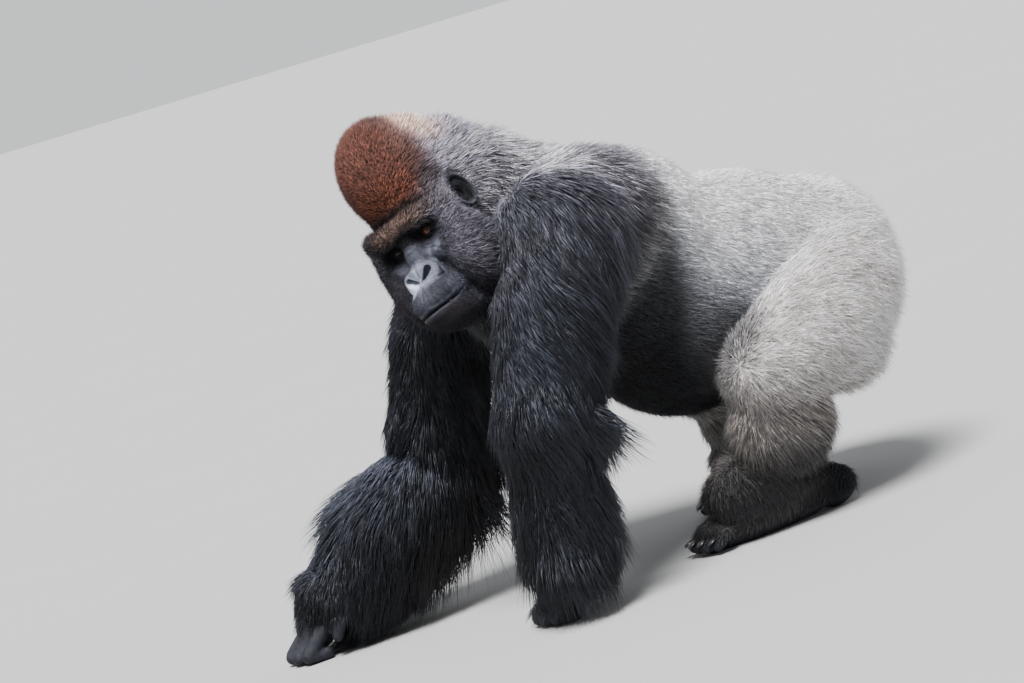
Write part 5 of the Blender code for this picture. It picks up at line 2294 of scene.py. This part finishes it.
@dataclass
class Eyes:
    """The two eyeballs, each turned to where the animal looks; angles in degrees."""

    model: Model
    aside: float = 28.0
    upward: float = 2.0
    bulge: float = 0.055
    front: int = 28
    rear: int = 12
    spokes: int = 64

    def faces(self, last: int) -> list[tuple[int, int, int]]:
        """The triangles of a ball.

        Args:
            last: the number of its last point, at the back.

        Returns:
            Three points to each.
        """
        count = self.spokes
        bands = self.front + self.rear - 3
        faces = []
        for step in range(count):
            after = (step + 1) % count
            faces.append((0, 1 + after, 1 + step))
            for low in range(1, 1 + bands * count, count):
                high = low + count
                faces.append((low + step, low + after, high + after))
                faces.append((low + step, high + after, high + step))
            low = 1 + bands * count
            faces.append((last, low + step, low + after))
        return faces

    def ball(self, tag: str, side: float) -> bpy.types.Object:
        """One eyeball with a cornea.

        Args:
            tag: the end of its name.
            side: 1 for the left eye, -1 for the right.

        Returns:
            The object.
        """
        radius = Flesh.eye_radius * HEAD_UNIT
        rings = (np.linspace(0.0, 45.0, self.front), np.linspace(50.0, 180.0, self.rear))
        polar = np.concatenate(rings)
        around = np.arange(self.spokes) * 2.0 * np.pi / self.spokes
        points, polars, spokes = [], [], []
        for angle in polar:
            grown = radius * (1.0 + self.bulge * float(1.0 - ramp(np.array(angle), 8.0, 40.0)))
            count = 1 if angle in (0.0, 180.0) else self.spokes
            wide, ahead = grown * math.sin(math.radians(angle)), -grown * math.cos(math.radians(angle))
            for turn in around[:count]:
                points.append((wide * math.cos(turn), ahead, wide * math.sin(turn)))
                polars.append(angle)
                spokes.append((math.cos(turn) * 1.5, math.sin(turn) * 1.5, angle * 0.012))
        aside = Matrix.Rotation(math.radians(self.aside), 3, "Z")
        turned = np.array(aside @ Matrix.Rotation(math.radians(-self.upward), 3, "X"))
        centre = placed(np.array([EYE_AT]) * to_side(side), HEAD)[0]
        place = np.array(points) @ turned.T @ (HEAD[:3, :3] / HEAD_UNIT).T + centre
        mesh = self.model.plain_mesh("eyeball_" + tag, place, np.array(self.faces(len(points) - 1)))
        add_values(mesh, "polar", np.array(polars))
        add_values(mesh, "spoke", np.array(spokes))
        return linked("eyeball_" + tag, mesh)

    def build(self) -> None:
        """Makes both eyes."""
        finish = EyeFinish().material()
        for tag, side in (("left", 1.0), ("right", -1.0)):
            made = self.ball(tag, side)
            made.data.materials.append(finish)
            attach(made, "root")
            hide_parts("eye_" + tag)
        LOG.info("eyes made")


@dataclass
class Nails:
    """The nails of the toes; slant, height and reach are in radii of the toe."""

    model: Model
    half: Point = (0.0085, 0.011, 0.0035)
    toe: float = 0.0165
    big_toe: float = 0.024
    slant: float = 0.55
    height: float = 0.86
    reach: float = 0.25

    def build(self) -> bpy.types.Object:
        """Makes all nails as one piece.

        Returns:
            The object.
        """
        clay = bmesh.new()
        tips = []
        for foot in (LEFT_FOOT, RIGHT_FOOT):
            tips += [(root, tip, foot.toe_half) for root, tip in foot.toe_lines()]
            tips.append((np.array(foot.big_toe[0]), np.array(foot.big_toe[1]), self.big_toe))
        for root, tip, radius in tips:
            ahead = Vector(unit(np.array([*(tip - root)[:2], 0.0])))
            aside = Vector((-ahead.y, ahead.x, 0.0))
            up = (Vector((0.0, 0.0, 1.0)) + ahead * self.slant).normalized()
            on = aside.cross(up).normalized()
            middle = Vector(tip) + up * (radius * self.height) + ahead * radius * self.reach
            basis = Matrix((aside, -on, up)).transposed().to_4x4()
            size = Matrix.Diagonal((*[side * (radius / self.toe) for side in self.half], 1.0))
            place = Matrix.Translation(middle) @ basis @ size
            bmesh.ops.create_uvsphere(clay, u_segments=20, v_segments=12, radius=1.0, matrix=place)
        bmesh.ops.translate(clay, verts=clay.verts, vec=Vector(self.model.shift))
        bmesh.ops.recalc_face_normals(clay, faces=clay.faces)
        mesh = fired("nails", clay)
        mesh.shade_smooth()
        mesh.materials.append(NailFinish().material())
        made = linked("nails", mesh)
        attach(made, "root")
        LOG.info("nails made")
        return made


@dataclass
class Studio:
    """The floor, the light and the camera, in floor coordinates, degrees and millimetres of lens."""

    shift: Array
    reach: float = 400.0
    floor_grey: float = 0.3
    sky: float = 0.9
    sky_colour: Colour = (0.96, 0.98, 1.0)
    sun: float = 12.0
    sun_width: float = 22.0
    sun_way: Point = (-0.45, 0.3, -1.0)
    lens: float = 112.5
    sensor: float = 36.0
    target: Point = (0.0, -0.665, 0.53)
    away: float = 6.5
    right: Point = (0.4018, 0.8694, -0.2874)
    up: Point = (0.0208, 0.3051, 0.952)
    back: Point = (0.9155, -0.3886, 0.1045)

    def floor(self) -> None:
        """A plain pale floor."""
        mesh = bpy.data.meshes.new("floor")
        signs = ((-1, -1), (1, -1), (1, 1), (-1, 1))
        corners = [(x * self.reach, y * self.reach, 0.0) for x, y in signs]
        mesh.from_pydata(corners, [], [(0, 1, 2, 3)])
        paint = Paint("floor")
        tone = paint.ramp(paint.noise(1.5), 0.3, 0.7, self.floor_grey * 0.99, self.floor_grey * 1.01)
        paint.link(paint.grey(tone), "Base Color")
        paint.set(Roughness=0.9, Specular_IOR_Level=0.1)
        mesh.materials.append(paint.material)
        linked("floor", mesh)

    def light(self) -> None:
        """A soft sun and a pale sky."""
        data = bpy.data.lights.new("key", "SUN")
        data.energy = self.sun
        data.angle = math.radians(self.sun_width)
        made = bpy.data.objects.new("key", data)
        bpy.context.scene.collection.objects.link(made)
        made.rotation_euler = Vector(self.sun_way).to_track_quat("-Z", "Y").to_euler()
        world = bpy.data.worlds.new("sky")
        world.use_nodes = True
        sky = world.node_tree.nodes["Background"].inputs
        sky["Color"].default_value = (*self.sky_colour, 1.0)
        sky["Strength"].default_value = self.sky
        bpy.context.scene.world = world

    def camera(self) -> None:
        """The camera, rolled a little."""
        data = bpy.data.cameras.new("camera")
        data.lens = self.lens
        data.sensor_width = self.sensor
        made = bpy.data.objects.new("camera", data)
        bpy.context.scene.collection.objects.link(made)
        place = np.array(self.target) + self.away * np.array(self.back) + self.shift
        rows = [[self.right[i], self.up[i], self.back[i], place[i]] for i in range(3)]
        made.matrix_world = Matrix(rows + [[0.0, 0.0, 0.0, 1.0]])
        bpy.context.scene.camera = made


def main() -> None:
    """Builds the animal and its setting."""
    shift = floor_shift()
    skin = Skin(Flesh())
    skin.build()
    LOG.info("skin shaped: %d points", len(skin.points))
    model = Model(shift, skin, Pelt(skin))
    SkinPiece(model).build()
    Coat(model).build()
    Eyes(model).build()
    Nails(model).build()
    studio = Studio(shift)
    studio.floor()
    studio.light()
    studio.camera()


if __name__ == "__main__":
    logging.basicConfig(level=logging.INFO, format="%(relativeCreated)d %(message)s")
    main()
